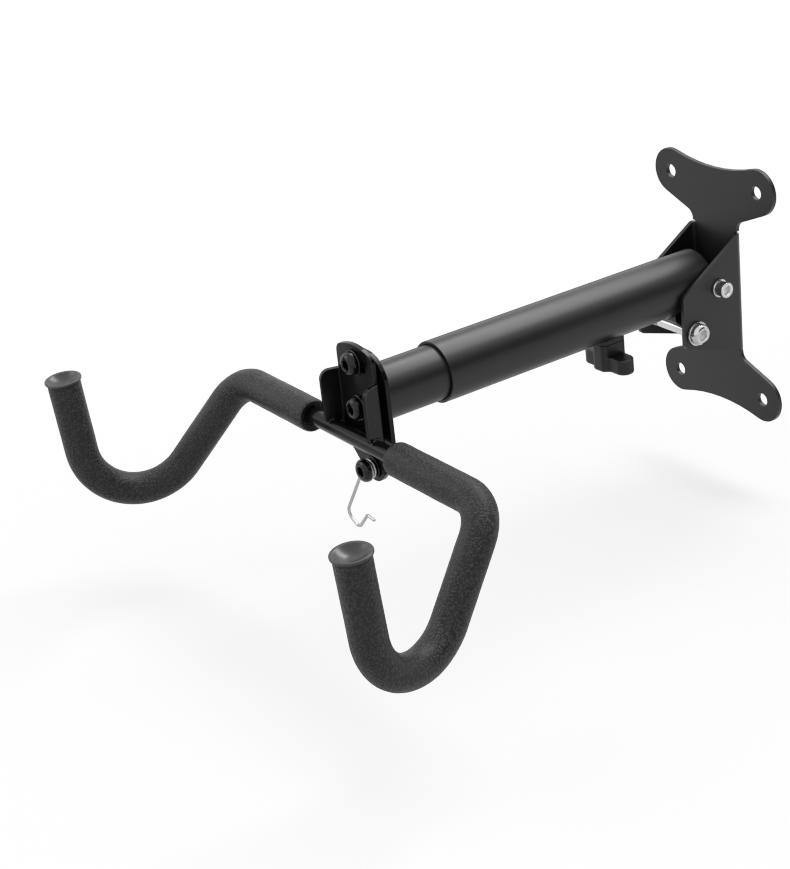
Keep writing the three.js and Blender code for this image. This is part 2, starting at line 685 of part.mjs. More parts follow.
/** Side outline of the flanges in (y, z). They stand on the rod and reach down behind it. */
function flangeProfile(rodY) {
  const front = -TILT_SHEET - FLANGE_DEPTH;
  const corners = [at(1, FLANGE_TOP), at(front, FLANGE_TOP), at(front, FLANGE_BOTTOM)];
  const upper = bentLine(corners, [FLANGE_CORNER]);
  return [...upper, at(rodY, FLANGE_BOTTOM), at(rodY, WEB_BOTTOM), at(1, WEB_BOTTOM)];
}

/** The bent bracket that carries the hooks and tilts on the head plate, with its back on y = 0. */
function tiltBracket() {
  const rodY = -TILT_SHEET - ROD_OFFSET;
  const half = TILT_WIDTH / 2;
  const web = prism('y', webOutline(), -TILT_SHEET, 0, [circle(m8Hole, 0, TILT_Z), lockSlot()]);
  const flanges = bentChannel(half, TILT_SHEET, TILT_BEND, flangeProfile(rodY), FLANGE_SPLAY);
  const pivotHole = prism('y', circle(m8Hole, 0, TILT_Z), -TILT_SHEET - 1, 1);
  const seat = prism('x', circle(ROD_DIAMETER + 2 * CLEAR, rodY, ROD_Z), -2 * half, 2 * half);
  const bracket = web.add(flanges.subtract(pivotHole)).subtract(seat);
  return piece('tilt_bracket', bracket, 'glossBlack');
}

// ---- padded hooks, with the web's front face on y = 0 ----

/** Corners of the right-hand hook's line: where the rod turns forward, its toe and its tip. */
function hookCorners() {
  return [
    new THREE.Vector3(SHOULDER_X, -ROD_OFFSET, ROD_Z),
    new THREE.Vector3(TOE_X, -TOE_REACH, TOE_Z),
    new THREE.Vector3(TOE_X - TIP_LEAN, -TIP_REACH, TIP_Z),
  ];
}

/** A point some way back from the tip along the rod. */
function beforeTip(distance) {
  const [, toe, tip] = hookCorners();
  return tip.clone().addScaledVector(tip.clone().sub(toe).normalize(), -distance);
}

const mirrored = (points) => points.map((p) => new THREE.Vector3(-p.x, p.y, p.z)).reverse();

/** The rod, bent out of one length from tip to tip. */
function hookRod() {
  const [shoulder, toe] = hookCorners();
  const right = [shoulder, toe, beforeTip(CAP_DEPTH + SLIDE_FIT)];
  const radii = [TOE_RADIUS, SHOULDER_RADIUS, SHOULDER_RADIUS, TOE_RADIUS];
  const line = bentLine([...mirrored(right), ...right], radii);
  return piece('hook_rod', swept(circle(ROD_DIAMETER, 0, 0, ROD_SIDES), line), 'satinBlack');
}

/** Turns things made along z so that they stand on the tip of a hook. */
function tipFrame(side, distance) {
  const place = beforeTip(distance);
  const [, toe, tip] = hookCorners();
  const along = tip.clone().sub(toe).normalize();
  place.x *= side;
  along.x *= side;
  const turn = new THREE.Quaternion().setFromUnitVectors(new THREE.Vector3(0, 0, 1), along);
  return { place, turn };
}

/** A foam sleeve, counterbored at the tip for the cap's plug. */
function foamSleeve(name, side) {
  const [shoulder, toe] = hookCorners();
  const end = beforeTip(CAP_RIM + CLEAR);
  const start = new THREE.Vector3(FOAM_START, -ROD_OFFSET, ROD_Z);
  const right = bentLine([start, shoulder, toe, end], [SHOULDER_RADIUS, TOE_RADIUS]);
  const line = side > 0 ? right : mirrored(right);
  const outline = circle(FOAM_DIAMETER, 0, 0, FOAM_SIDES);
  const sleeve = swept(outline, line, bore(ROD_DIAMETER + 2 * CLEAR, ROD_SIDES));
  const { place, turn } = tipFrame(side, 0);
  const plug = circle(CAP_PLUG_DIAMETER + 2 * CLEAR, 0, 0, FOAM_SIDES);
  const well = prism('z', plug, -CAP_DEPTH - CLEAR, 0);
  const placed = new THREE.Matrix4().compose(place, turn, new THREE.Vector3(1, 1, 1));
  return piece(name, sleeve.subtract(well.transform(placed.toArray())), 'foam');
}

/** A cap with a plug below its rim and a dished top, its top on the tip. */
function endCap(name, side) {
  const rim = CAP_RIM_DIAMETER / 2;
  const plug = CAP_PLUG_DIAMETER / 2;
  const dishEdge = rim - CAP_LIP;
  const ball = (dishEdge ** 2 + CAP_DISH ** 2) / (2 * CAP_DISH);
  const dish = [1, 0.75, 0.5, 0.25].map((share) => {
    const radius = dishEdge * share;
    return [radius, ball - CAP_DISH - Math.sqrt(ball ** 2 - radius ** 2)];
  });
  const lower = [[0, -CAP_DEPTH], [plug, -CAP_DEPTH], [plug, -CAP_RIM], [rim, -CAP_RIM]];
  const lip = [[rim, -0.6], [rim - 0.5, 0]];
  const cap = piece(name, turned([...lower, ...lip, ...dish, [0, -CAP_DISH]]), 'plastic');
  const { place, turn } = tipFrame(side, 0);
  cap.position.copy(place);
  cap.quaternion.copy(turn);
  return cap;
}

// ---- wire hook, about the hook screw's axis ----

/** Stations of the eye: two coils side by side, the second one in the plane of the shank. */
function eyeCoils() {
  const lap = EYE_TURN - 360;
  return arc(0, 0, EYE_RADIUS, 180 - EYE_TURN, 180, 30).map(({ x, y }, i) => {
    const share = THREE.MathUtils.clamp(((i * EYE_TURN) / 30 - lap) / (360 - lap), 0, 1);
    return new THREE.Vector3(x, -EYE_PITCH * (1 - share), y);
  });
}

/** A coiled eye, a straight shank and a small hook with a turned-out end. */
function wireHook() {
  const corners = [
    at(-EYE_RADIUS, 0),
    at(-EYE_RADIUS, -WIRE_DROP),
    at(8.6, 1.5 - WIRE_DROP),
    at(11, 18 - WIRE_DROP),
    at(17.5, 21 - WIRE_DROP),
  ];
  const shank = bentLine(corners, [WIRE_BEND, WIRE_BEND, 2]).slice(1);
  const line = [...eyeCoils(), ...shank.map((p) => new THREE.Vector3(p.x, 0, p.y))];
  const hook = piece('wire_hook', swept(circle(WIRE_DIAMETER, 0, 0, 8), line), 'zinc');
  hook.position.set(0, -eyeBack - WIRE_DIAMETER / 2, hookScrewZ);
  hook.rotation.y = rad(WIRE_LEAN);
  return hook;
}

// ---- whole rack ----

const padded = assembly(
  [0, -webFace, 0],
  hookRod(),
  foamSleeve('foam_sleeve_left', -1),
  foamSleeve('foam_sleeve_right', 1),
  endCap('end_cap_left', -1),
  endCap('end_cap_right', 1),
);

const tiltFrame = assembly([0, -webBack, 0], tiltBracket());

const head = assembly(
  [0, INNER_TAIL - INNER_LENGTH - CLEAR, 0],
  headPlate(),
  tiltLock(),
  tiltPivot(),
  hookStack(),
  tiltFrame,
  padded,
  wireHook(),
);

const slider = assembly(
  [0, -CLAMP_REACH - SLIDE_SHOWN, 0],
  innerTube(),
  clampSaddle(),
  slideNut(),
  ...clampKnob(),
  head,
);

const rack = assembly([0, 0, 0], wallBracket(), ...cheekBolts(), outerTube(), pivotBush(), restPad(), slider);

export default rack;
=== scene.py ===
"""Looks of a folding bicycle wall rack: bracket, sliding arm, clamp knob, tilting head and padded hooks.

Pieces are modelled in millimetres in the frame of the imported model. When a piece is done its mesh is
scaled to metres, dressed in its finish and set to ride on its body. The wall is the plane y = 0, the arm
runs along -Y, +Z is up, and the heads of the bracket's bolts look along +X.
"""

import logging
import math
from dataclasses import dataclass, field, replace
from enum import Enum
from typing import Callable, ClassVar, Sequence

import bpy
import numpy as np
from mathutils import Matrix, Vector


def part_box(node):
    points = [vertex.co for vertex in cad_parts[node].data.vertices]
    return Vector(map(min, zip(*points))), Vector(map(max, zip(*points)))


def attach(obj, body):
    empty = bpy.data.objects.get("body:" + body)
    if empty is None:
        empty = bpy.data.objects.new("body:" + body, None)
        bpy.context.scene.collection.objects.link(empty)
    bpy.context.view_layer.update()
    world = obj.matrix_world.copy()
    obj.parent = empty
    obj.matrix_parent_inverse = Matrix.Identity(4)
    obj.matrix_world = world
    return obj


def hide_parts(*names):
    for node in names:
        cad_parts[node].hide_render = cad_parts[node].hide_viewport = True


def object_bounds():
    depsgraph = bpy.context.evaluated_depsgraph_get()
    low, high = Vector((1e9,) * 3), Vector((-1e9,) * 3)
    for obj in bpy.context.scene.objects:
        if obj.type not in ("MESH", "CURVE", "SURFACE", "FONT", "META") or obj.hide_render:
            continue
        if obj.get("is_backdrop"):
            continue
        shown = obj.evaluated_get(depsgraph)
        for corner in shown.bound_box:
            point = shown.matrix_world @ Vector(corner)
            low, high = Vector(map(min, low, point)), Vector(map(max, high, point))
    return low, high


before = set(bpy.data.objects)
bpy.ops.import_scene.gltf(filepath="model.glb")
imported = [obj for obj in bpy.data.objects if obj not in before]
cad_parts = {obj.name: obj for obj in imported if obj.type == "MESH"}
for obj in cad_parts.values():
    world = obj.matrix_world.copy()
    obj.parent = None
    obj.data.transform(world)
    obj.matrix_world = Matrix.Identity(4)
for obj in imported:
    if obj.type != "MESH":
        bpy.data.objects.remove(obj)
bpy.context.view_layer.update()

LOG = logging.getLogger("wall_rack")
METRE = 1000.0
CLEAR = 0.3  # between a screw and the bore it passes through
OVER = 1.0  # how far a cutting tool stands out of what it cuts
# painted highlight: the lightest colour that an edge's painted highlight may reach
PALEST_PAINTED_HIGHLIGHT = 0.9  # the lightest that a brightened edge may be
X = Vector((1, 0, 0))
Y = Vector((0, 1, 0))
Z = Vector((0, 0, 1))
Object = bpy.types.Object
Material = bpy.types.Material
Node = bpy.types.Node
NodeTree = bpy.types.NodeTree
Socket = bpy.types.NodeSocket
Profile = list[tuple[float, float]]
Coat = tuple[Material, Material]


class Body(Enum):
    """The moving bodies of the rack."""

    WALL = "wall"
    ARM = "arm"
    SLIDER = "slider"
    KNOB = "knob"
    HOOK_FRAME = "hook_frame"
    WIRE_HOOK = "wire_hook"


class Slot(Enum):
    """The material slots of the record."""

    SATIN_STEEL = "satin_black_steel"
    GLOSS_STEEL = "gloss_black_steel"
    CHROME = "chromed_bolts"
    BLACK_SCREW = "black_screws"
    ZINC = "zinc_steel"
    PLASTIC = "black_plastic"
    FOAM = "grained_foam"


class Side(Enum):
    """The two hooks, by the sign of their x."""

    LEFT = -1
    RIGHT = 1


def corners(node: str) -> tuple[Vector, Vector]:
    """The lowest and highest corner of a node at rest, in millimetres."""
    low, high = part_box(node)
    return low * METRE, high * METRE


def middle(node: str) -> Vector:
    """The middle of a node's box, in millimetres."""
    low, high = corners(node)
    return (low + high) / 2


def arc(u: float, v: float, radius: float, start: float, end: float, steps: int) -> Profile:
    """Points on an arc, both ends included.

    Args:
        u: First coordinate of the centre.
        v: Second coordinate of the centre.
        radius: Radius of the arc.
        start: Angle of the first point in degrees.
        end: Angle of the last point in degrees.
        steps: How many chords the arc has.

    Returns:
        The points as pairs.
    """
    angles = [math.radians(start + (end - start) * i / steps) for i in range(steps + 1)]
    return [(u + radius * math.cos(a), v + radius * math.sin(a)) for a in angles]


# ---- lines that rods, sleeves and wires follow ----


@dataclass(frozen=True)
class Straight:
    """A straight stretch of a line."""

    move: Vector

    @property
    def length(self) -> float:
        """Length of the stretch."""
        return self.move.length

    def sweep(self, steps: int) -> None:
        """Extrudes the selected ring along the stretch in equal steps."""
        bpy.ops.mesh.extrude_repeat(steps=steps, offset=self.move / steps, scale_offset=1.0)


@dataclass(frozen=True)
class Turn:
    """A bend of a line about an axis, which may climb along the axis as it goes."""

    centre: Vector
    axis: Vector
    angle: float
    radius: float
    rise: float = 0.0

    @property
    def length(self) -> float:
        """Length of the bend along its middle."""
        return self.radius * self.angle

    def sweep(self, steps: int) -> None:
        """Spins the selected ring about the bend's axis. The operator counts its angle clockwise.

        Args:
            steps: How many facets the bend has.
        """
        if not self.rise:
            bpy.ops.mesh.spin(steps=steps, angle=-self.angle, center=self.centre, axis=self.axis)
            return
        for _ in range(steps):
            bpy.ops.mesh.spin(steps=1, angle=-self.angle / steps, center=self.centre, axis=self.axis)
            bpy.ops.transform.translate(value=self.axis * (self.rise / steps))


Leg = Straight | Turn


@dataclass(frozen=True)
class Line:
    """Where a rod starts, which way, and the legs it follows."""

    start: Vector
    heading: Vector
    legs: tuple[Leg, ...]

    @staticmethod
    def bent(points: Sequence[Vector], radii: Sequence[float]) -> "Line":
        """A line through corners, with a bend at each inner one.

        Args:
            points: The corners, with both ends.
            radii: Bend radius of each inner corner.

        Returns:
            The line.
        """
        legs: list[Leg] = []
        place = points[0]
        for before, corner, after, radius in zip(points, points[1:], points[2:], radii):
            inward = (corner - before).normalized()
            outward = (after - corner).normalized()
            turn = inward.angle(outward)
            reach = radius * math.tan(turn / 2)
            bend_start = corner - inward * reach
            axis = inward.cross(outward).normalized()
            legs.append(Straight(bend_start - place))
            legs.append(Turn(bend_start + axis.cross(inward) * radius, axis, turn, radius))
            place = corner + outward * reach
        legs.append(Straight(points[-1] - place))
        return Line(points[0], (points[1] - points[0]).normalized(), tuple(legs))


# ---- the bench: modelling steps, done with operators as by hand ----


class Bench:
    """Steps that make and shape meshes in millimetres."""

    @staticmethod
    def pick(*objects: Object) -> None:
        """Selects these objects and nothing else, in object mode.

        Args:
            *objects: What to select. The first becomes the active one.
        """
        if bpy.context.object and bpy.context.object.mode != "OBJECT":
            bpy.ops.object.mode_set(mode="OBJECT")
        bpy.ops.object.select_all(action="DESELECT")
        for item in objects:
            item.select_set(True)
        if objects:
            bpy.context.view_layer.objects.active = objects[0]

    @staticmethod
    def settle(name: str) -> Object:
        """Names the active object and applies its place, turn and size to its mesh.

        Args:
            name: Its name.

        Returns:
            The active object.
        """
        item = bpy.context.object
        item.name = name
        bpy.ops.object.transform_apply(location=True, rotation=True, scale=True)
        return item

    @staticmethod
    def edit(item: Object, everything: bool = True) -> None:
        """Opens a mesh in edit mode.

        Args:
            item: The mesh object.
            everything: Whether all of it is selected, or only what its flags say.
        """
        Bench.pick(item)
        bpy.context.tool_settings.mesh_select_mode = (True, False, False)
        bpy.ops.object.mode_set(mode="EDIT")
        if everything:
            bpy.ops.mesh.select_all(action="SELECT")

    @staticmethod
    def select(item: Object, test: Callable[[np.ndarray], np.ndarray]) -> None:
        """Opens a mesh in edit mode with the vertices selected that pass a test.

        Args:
            item: The mesh object.
            test: Says yes or no for each row of an array of places.
        """
        Bench.pick(item)
        mesh = item.data
        places = np.zeros(3 * len(mesh.vertices), np.float32)
        mesh.vertices.foreach_get("co", places)
        mesh.polygons.foreach_set("select", np.zeros(len(mesh.polygons), bool))
        mesh.edges.foreach_set("select", np.zeros(len(mesh.edges), bool))
        mesh.vertices.foreach_set("select", test(places.reshape(-1, 3)))
        Bench.edit(item, everything=False)
        bpy.ops.mesh.select_mode(type="VERT")

    @staticmethod
    def done() -> Object:
        """Leaves edit mode and returns the object that was edited."""
        bpy.ops.object.mode_set(mode="OBJECT")
        return bpy.context.object

    @staticmethod
    def tidy(item: Object, gap: float = 0.001) -> Object:
        """Merges doubled vertices and turns every face outwards.

        Args:
            item: The mesh object.
            gap: How near two vertices are merged.

        Returns:
            The same object.
        """
        Bench.edit(item)
        bpy.ops.mesh.remove_doubles(threshold=gap)
        bpy.ops.mesh.normals_make_consistent(inside=False)
        return Bench.done()

    @staticmethod
    def modify(item: Object, kind: str, **settings: object) -> Object:
        """Adds a modifier, sets it and applies it.

        Args:
            item: The mesh object.
            kind: The modifier's type.
            **settings: Values for its properties.

        Returns:
            The same object.
        """
        Bench.pick(item)
        bpy.ops.object.modifier_add(type=kind)
        modifier = item.modifiers[-1]
        for name, value in settings.items():
            setattr(modifier, name, value)
        bpy.ops.object.modifier_apply(modifier=modifier.name)
        return item

    @staticmethod
    def round_edges(item: Object, width: float, segments: int = 2, angle: float = 35.0) -> Object:
        """Rounds the edges that are sharper than an angle, and gives them the second material slot, whose
        colour holds a painted highlight on some finishes.

        Args:
            item: The mesh object.
            width: Width of the rounding.
            segments: Facets across it.
            angle: Smallest angle in degrees that counts as an edge.

        Returns:
            The same object.
        """
        while len(item.data.materials) < 2:
            item.data.materials.append(None)
        return Bench.modify(
            item, "BEVEL", width=width, segments=segments, limit_method="ANGLE", material=1,
            angle_limit=math.radians(angle), miter_outer="MITER_ARC", use_clamp_overlap=True,
        )

    @staticmethod
    def cut(item: Object, *tools: Object) -> Object:
        """Cuts tools out of a solid and throws the tools away.

        Args:
            item: The solid.
            *tools: What is cut out of it.

        Returns:
            The same object.
        """
        for tool in tools:
            Bench.modify(item, "BOOLEAN", operation="DIFFERENCE", object=tool, solver="EXACT")
            bpy.data.objects.remove(tool)
        return item

    @staticmethod
    def fuse(item: Object, *others: Object) -> Object:
        """Adds solids to a solid and throws the others away.

        Args:
            item: The solid.
            *others: What is added to it.

        Returns:
            The same object.
        """
        for other in others:
            Bench.modify(item, "BOOLEAN", operation="UNION", object=other, solver="EXACT")
            bpy.data.objects.remove(other)
        return item

    @staticmethod
    def draw(name: str, points: Sequence[Vector]) -> Object:
        """Draws a chain of edges by extruding one vertex from point to point.

        Args:
            name: Name of the new object.
            points: The points of the chain.

        Returns:
            The new object, in edit mode.
        """
        Bench.pick()
        bpy.ops.mesh.primitive_plane_add(size=1.0)
        item = bpy.context.object
        item.name = name
        Bench.edit(item)
        bpy.ops.mesh.merge(type="CENTER")
        bpy.ops.transform.translate(value=points[0])
        for here, there in zip(points, points[1:]):
            bpy.ops.mesh.extrude_region_move(TRANSFORM_OT_translate={"value": there - here})
        bpy.ops.mesh.select_all(action="SELECT")
        return item

    @staticmethod
    def turned(name: str, profile: Profile, origin: Vector, axis: Vector, sides: int = 64) -> Object:
        """A turned solid.

        Args:
            name: Name of the new object.
            profile: Pairs of radius and height, from axis to axis or as a closed loop.
            origin: Where the height is nought.
            axis: Direction in which the height grows.
            sides: Facets round the axis.

        Returns:
            The closed solid.
        """
        side = axis.orthogonal().normalized()
        item = Bench.draw(name, [origin + side * radius + axis * height for radius, height in profile])
        bpy.ops.mesh.spin(steps=sides, angle=math.tau, center=origin, axis=axis, use_auto_merge=True)
        Bench.done()
        return Bench.tidy(item)

    @staticmethod
    def slab(name: str, outline: Profile, axis: Vector, low: float, high: float) -> Object:
        """A flat slab with an outline.

        Args:
            name: Name of the new object.
            outline: Corners in (y, z) for a slab along X, or in (x, y) for one along Z.
            axis: Direction of the slab's thickness, X or Z.
            low: Where the slab starts on that axis.
            high: Where it ends.

        Returns:
            The closed solid.
        """
        along_x = axis == X
        points = [Vector((low, u, v)) if along_x else Vector((u, v, low)) for u, v in outline]
        item = Bench.draw(name, points)
        bpy.ops.mesh.edge_face_add()
        bpy.ops.mesh.extrude_region_move(TRANSFORM_OT_translate={"value": axis * (high - low)})
        Bench.done()
        return Bench.tidy(item)

    @staticmethod
    def pipe(name: str, radius: float, line: Line, sides: int, pitch: float, closed: bool = True) -> Object:
        """A round bar or skin that follows a line.

        Args:
            name: Name of the new object.
            radius: Radius of the bar.
            line: The line it follows.
            sides: Facets round it.
            pitch: Length of its facets along the line.
            closed: Whether its ends are filled.

        Returns:
            The bar, or its open skin.
        """
        Bench.pick()
        bpy.ops.mesh.primitive_circle_add(
            vertices=sides, radius=radius, fill_type="NOTHING", location=line.start,
            rotation=line.heading.to_track_quat("Z", "Y").to_euler(),
        )
        item = Bench.settle(name)
        Bench.edit(item)
        for leg in line.legs:
            leg.sweep(max(1, round(leg.length / pitch)))
        bpy.ops.mesh.select_all(action="SELECT")
        if closed:
            bpy.ops.mesh.fill_holes(sides=0)
        Bench.done()
        return Bench.tidy(item)

    @staticmethod
    def tube(name: str, node: str, wall: float, sides: int = 160) -> Object:
        """A round tube along Y with the size and place of a node.

        Args:
            name: Name of the new object.
            node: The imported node.
            wall: Thickness of the tube's wall.
            sides: Facets round it.

        Returns:
            The tube.
        """
        low, high = corners(node)
        Bench.pick()
        bpy.ops.mesh.primitive_cylinder_add(
            vertices=sides, radius=(high.x - low.x) / 2, depth=high.y - low.y, end_fill_type="NOTHING",
            location=(low + high) / 2, rotation=(math.pi / 2, 0, 0),
        )
        item = Bench.settle(name)
        Bench.tidy(item)
        return Bench.modify(item, "SOLIDIFY", thickness=wall, offset=-1.0)

    @staticmethod
    def peg(name: str, radius: float, start: Vector, end: Vector, sides: int = 48) -> Object:
        """A plain round peg, to cut with.

        Args:
            name: Name of the new object.
            radius: Its radius.
            start: Middle of one end.
            end: Middle of the other.
            sides: Facets round it.

        Returns:
            The peg.
        """
        Bench.pick()
        bpy.ops.mesh.primitive_cylinder_add(
            vertices=sides, radius=radius, depth=(end - start).length, location=(start + end) / 2,
            rotation=(end - start).to_track_quat("Z", "Y").to_euler(),
        )
        return Bench.settle(name)

    @staticmethod
    def traced(name: str, node: str, edge: float, segments: int = 2) -> Object:
        """A merged copy of a node, its flat faces joined up and its edges rounded.

        Args:
            name: Name of the new object.
            node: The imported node, which is left as it is.
            edge: Width of the rounding.
            segments: Facets across it.

        Returns:
            The copy, in millimetres.
        """
        item = bpy.data.objects.new(name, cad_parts[node].data.copy())
        bpy.context.scene.collection.objects.link(item)
        item.data.materials.clear()
        item.scale = (METRE,) * 3
        Bench.pick(item)
        Bench.settle(name)
        bpy.ops.mesh.customdata_custom_splitnormals_clear()
        Bench.edit(item)
        bpy.ops.mesh.remove_doubles(threshold=0.002)
        bpy.ops.mesh.dissolve_limited(angle_limit=math.radians(0.6))
        bpy.ops.mesh.normals_make_consistent(inside=False)
        Bench.done()
        return Bench.round_edges(item, edge, segments)

    @staticmethod
    def roughen(item: Object, kind: str, grain: float, height: float, group: str = "") -> Object:
        """Pushes a mesh in and out by a procedural pattern.

        Args:
            item: The mesh object.
            kind: The pattern's type.
            grain: Size of the pattern's features.
            height: How far it moves the surface in all.
            group: Vertex group that it acts on, or nothing for the whole mesh.

        Returns:
            The same object.
        """
        pattern = bpy.data.textures.new(item.name + "_relief", kind)
        pattern.noise_scale = grain
        Bench.modify(
            item, "DISPLACE", texture=pattern, texture_coords="LOCAL", strength=height,
            mid_level=0.5, vertex_group=group,
        )
        return item


# ---- shader building ----


class Board:
    """A node tree that is wired up in code."""

    def __init__(self, tree: NodeTree) -> None:
        """Starts on an empty tree."""
        self.tree = tree
        tree.nodes.clear()

    def add(self, kind: str, settings: dict[str, object] | None = None, **inputs: object) -> Node:
        """Adds a node.

        Args:
            kind: The node's type.
            settings: Values for the node's own properties.
            **inputs: Values or output sockets for its inputs, with _ for a space, or in0 and so on.

        Returns:
            The new node.
        """
        node = self.tree.nodes.new(kind)
        for name, value in (settings or {}).items():
            setattr(node, name, value)
        for name, value in inputs.items():
            socket = node.inputs[int(name[2:]) if name[2:].isdigit() else name.replace("_", " ")]
            if isinstance(value, Socket):
                self.tree.links.new(value, socket)
            else:
                socket.default_value = value
        return node

    def maths(self, operation: str, *values: object) -> Socket:
        """The result of a maths node on one, two or three values."""
        inputs = {f"in{i}": value for i, value in enumerate(values)}
        return self.add("ShaderNodeMath", {"operation": operation}, **inputs).outputs[0]

    def ramp(self, value: object, low: float, high: float, start: float, end: float) -> Socket:
        """A value carried smoothly from one range to another.

        Args:
            value: The socket to read.
            low: Low end of what it reads.
            high: High end of what it reads.
            start: Result at the low end.
            end: Result at the high end.

        Returns:
            The socket with the result.
        """
        return self.add(
            "ShaderNodeMapRange", {"interpolation_type": "SMOOTHSTEP"},
            in0=value, in1=low, in2=high, in3=start, in4=end,
        ).outputs[0]

    def noise(
        self, where: object, size: float, detail: float = 2.0, roughness: float = 0.5,
    ) -> Socket:
        """Noise whose features have a size in millimetres."""
        return self.add(
            "ShaderNodeTexNoise", Vector=where, Scale=METRE / size, Detail=detail, Roughness=roughness,
        ).outputs[0]

    def show(self, shader: Node, kind: str = "ShaderNodeOutputMaterial") -> None:
        """Leads a shader to a new output."""
        self.tree.links.new(shader.outputs[0], self.add(kind).inputs[0])


def new_material(name: str) -> tuple[Material, Board]:
    """Starts a material with an empty board.

    Args:
        name: Name of the material.

    Returns:
        The material and its board.
    """
    material = bpy.data.materials.new(name)
    material.use_nodes = True
    return material, Board(material.node_tree)


def new_group(
    name: str, inputs: Sequence[str], outputs: Sequence[str],
) -> tuple[Board, Node, Node]:
    """Starts a shader node group.

    Args:
        name: Name of the group.
        inputs: Its inputs. Vector is a vector, and the rest are numbers.
        outputs: Its outputs, all numbers.

    Returns:
        The board of the group, its input node and its output node.
    """
    tree = bpy.data.node_groups.new(name, "ShaderNodeTree")
    for socket in inputs:
        kind = "NodeSocketVector" if socket == "Vector" else "NodeSocketFloat"
        tree.interface.new_socket(socket, in_out="INPUT", socket_type=kind)
    for socket in outputs:
        tree.interface.new_socket(socket, in_out="OUTPUT", socket_type="NodeSocketFloat")
    board = Board(tree)
    return board, board.add("NodeGroupInput"), board.add("NodeGroupOutput")


@dataclass
class Effects:
    """Shader node groups that several finishes share. Each span is where a noise fades in."""

    coarse_share: float = 0.31
    fine_weight: float = 0.6
    patch: float = 34.0
    patch_span: tuple[float, float] = (0.32, 0.68)
    zone: float = 22.0
    zone_span: tuple[float, float] = (0.48, 0.66)
    scratch: float = 0.9
    scratch_span: tuple[float, float] = (0.55, 0.72)
    stretch: tuple[float, float, float] = (1.0, 0.22, 1.0)

    def __post_init__(self) -> None:
        """Builds every group once."""
        self.skin = self._skin()
        self.scuffs = self._scuffs()

    def _skin(self) -> NodeTree:
        """Fine relief of a sprayed or moulded surface, and slow patches over it.

        Returns:
            The group's tree.
        """
        board, given, result = new_group("sprayed_skin", ["Vector", "Grain"], ["Height", "Patches"])
        where = given.outputs["Vector"]
        scale = board.maths("DIVIDE", METRE, given.outputs["Grain"])
        fine = board.add("ShaderNodeTexNoise", Vector=where, Scale=scale, Detail=3.0)
        coarse = board.maths("MULTIPLY", scale, self.coarse_share)
        slow = board.add("ShaderNodeTexNoise", Vector=where, Scale=coarse, Detail=1.0)
        ripple = board.maths("MULTIPLY", fine.outputs[0], self.fine_weight)
        height = board.maths("ADD", ripple, slow.outputs[0])
        patches = board.noise(where, self.patch, detail=3.0, roughness=0.6)
        patches = board.ramp(patches, *self.patch_span, 0.0, 1.0)
        board.tree.links.new(height, result.inputs["Height"])
        board.tree.links.new(patches, result.inputs["Patches"])
        return board.tree

    def _scuffs(self) -> NodeTree:
        """A mask of faint handling marks.

        Returns:
            The group's tree.
        """
        board, given, result = new_group("handling_scuffs", ["Vector", "Amount"], ["Mask"])
        where = given.outputs["Vector"]
        zones = board.ramp(board.noise(where, self.zone), *self.zone_span, 0.0, 1.0)
        drawn = board.add(
            "ShaderNodeVectorMath", {"operation": "MULTIPLY"}, in0=where, in1=self.stretch,
        ).outputs[0]
        scratches = board.noise(drawn, self.scratch, detail=5.0, roughness=0.72)
        scratches = board.ramp(scratches, *self.scratch_span, 0.0, 1.0)
        mask = board.maths("MULTIPLY", scratches, zones)
        board.tree.links.new(board.maths("MULTIPLY", mask, given.outputs["Amount"]), result.inputs["Mask"])
        return board.tree


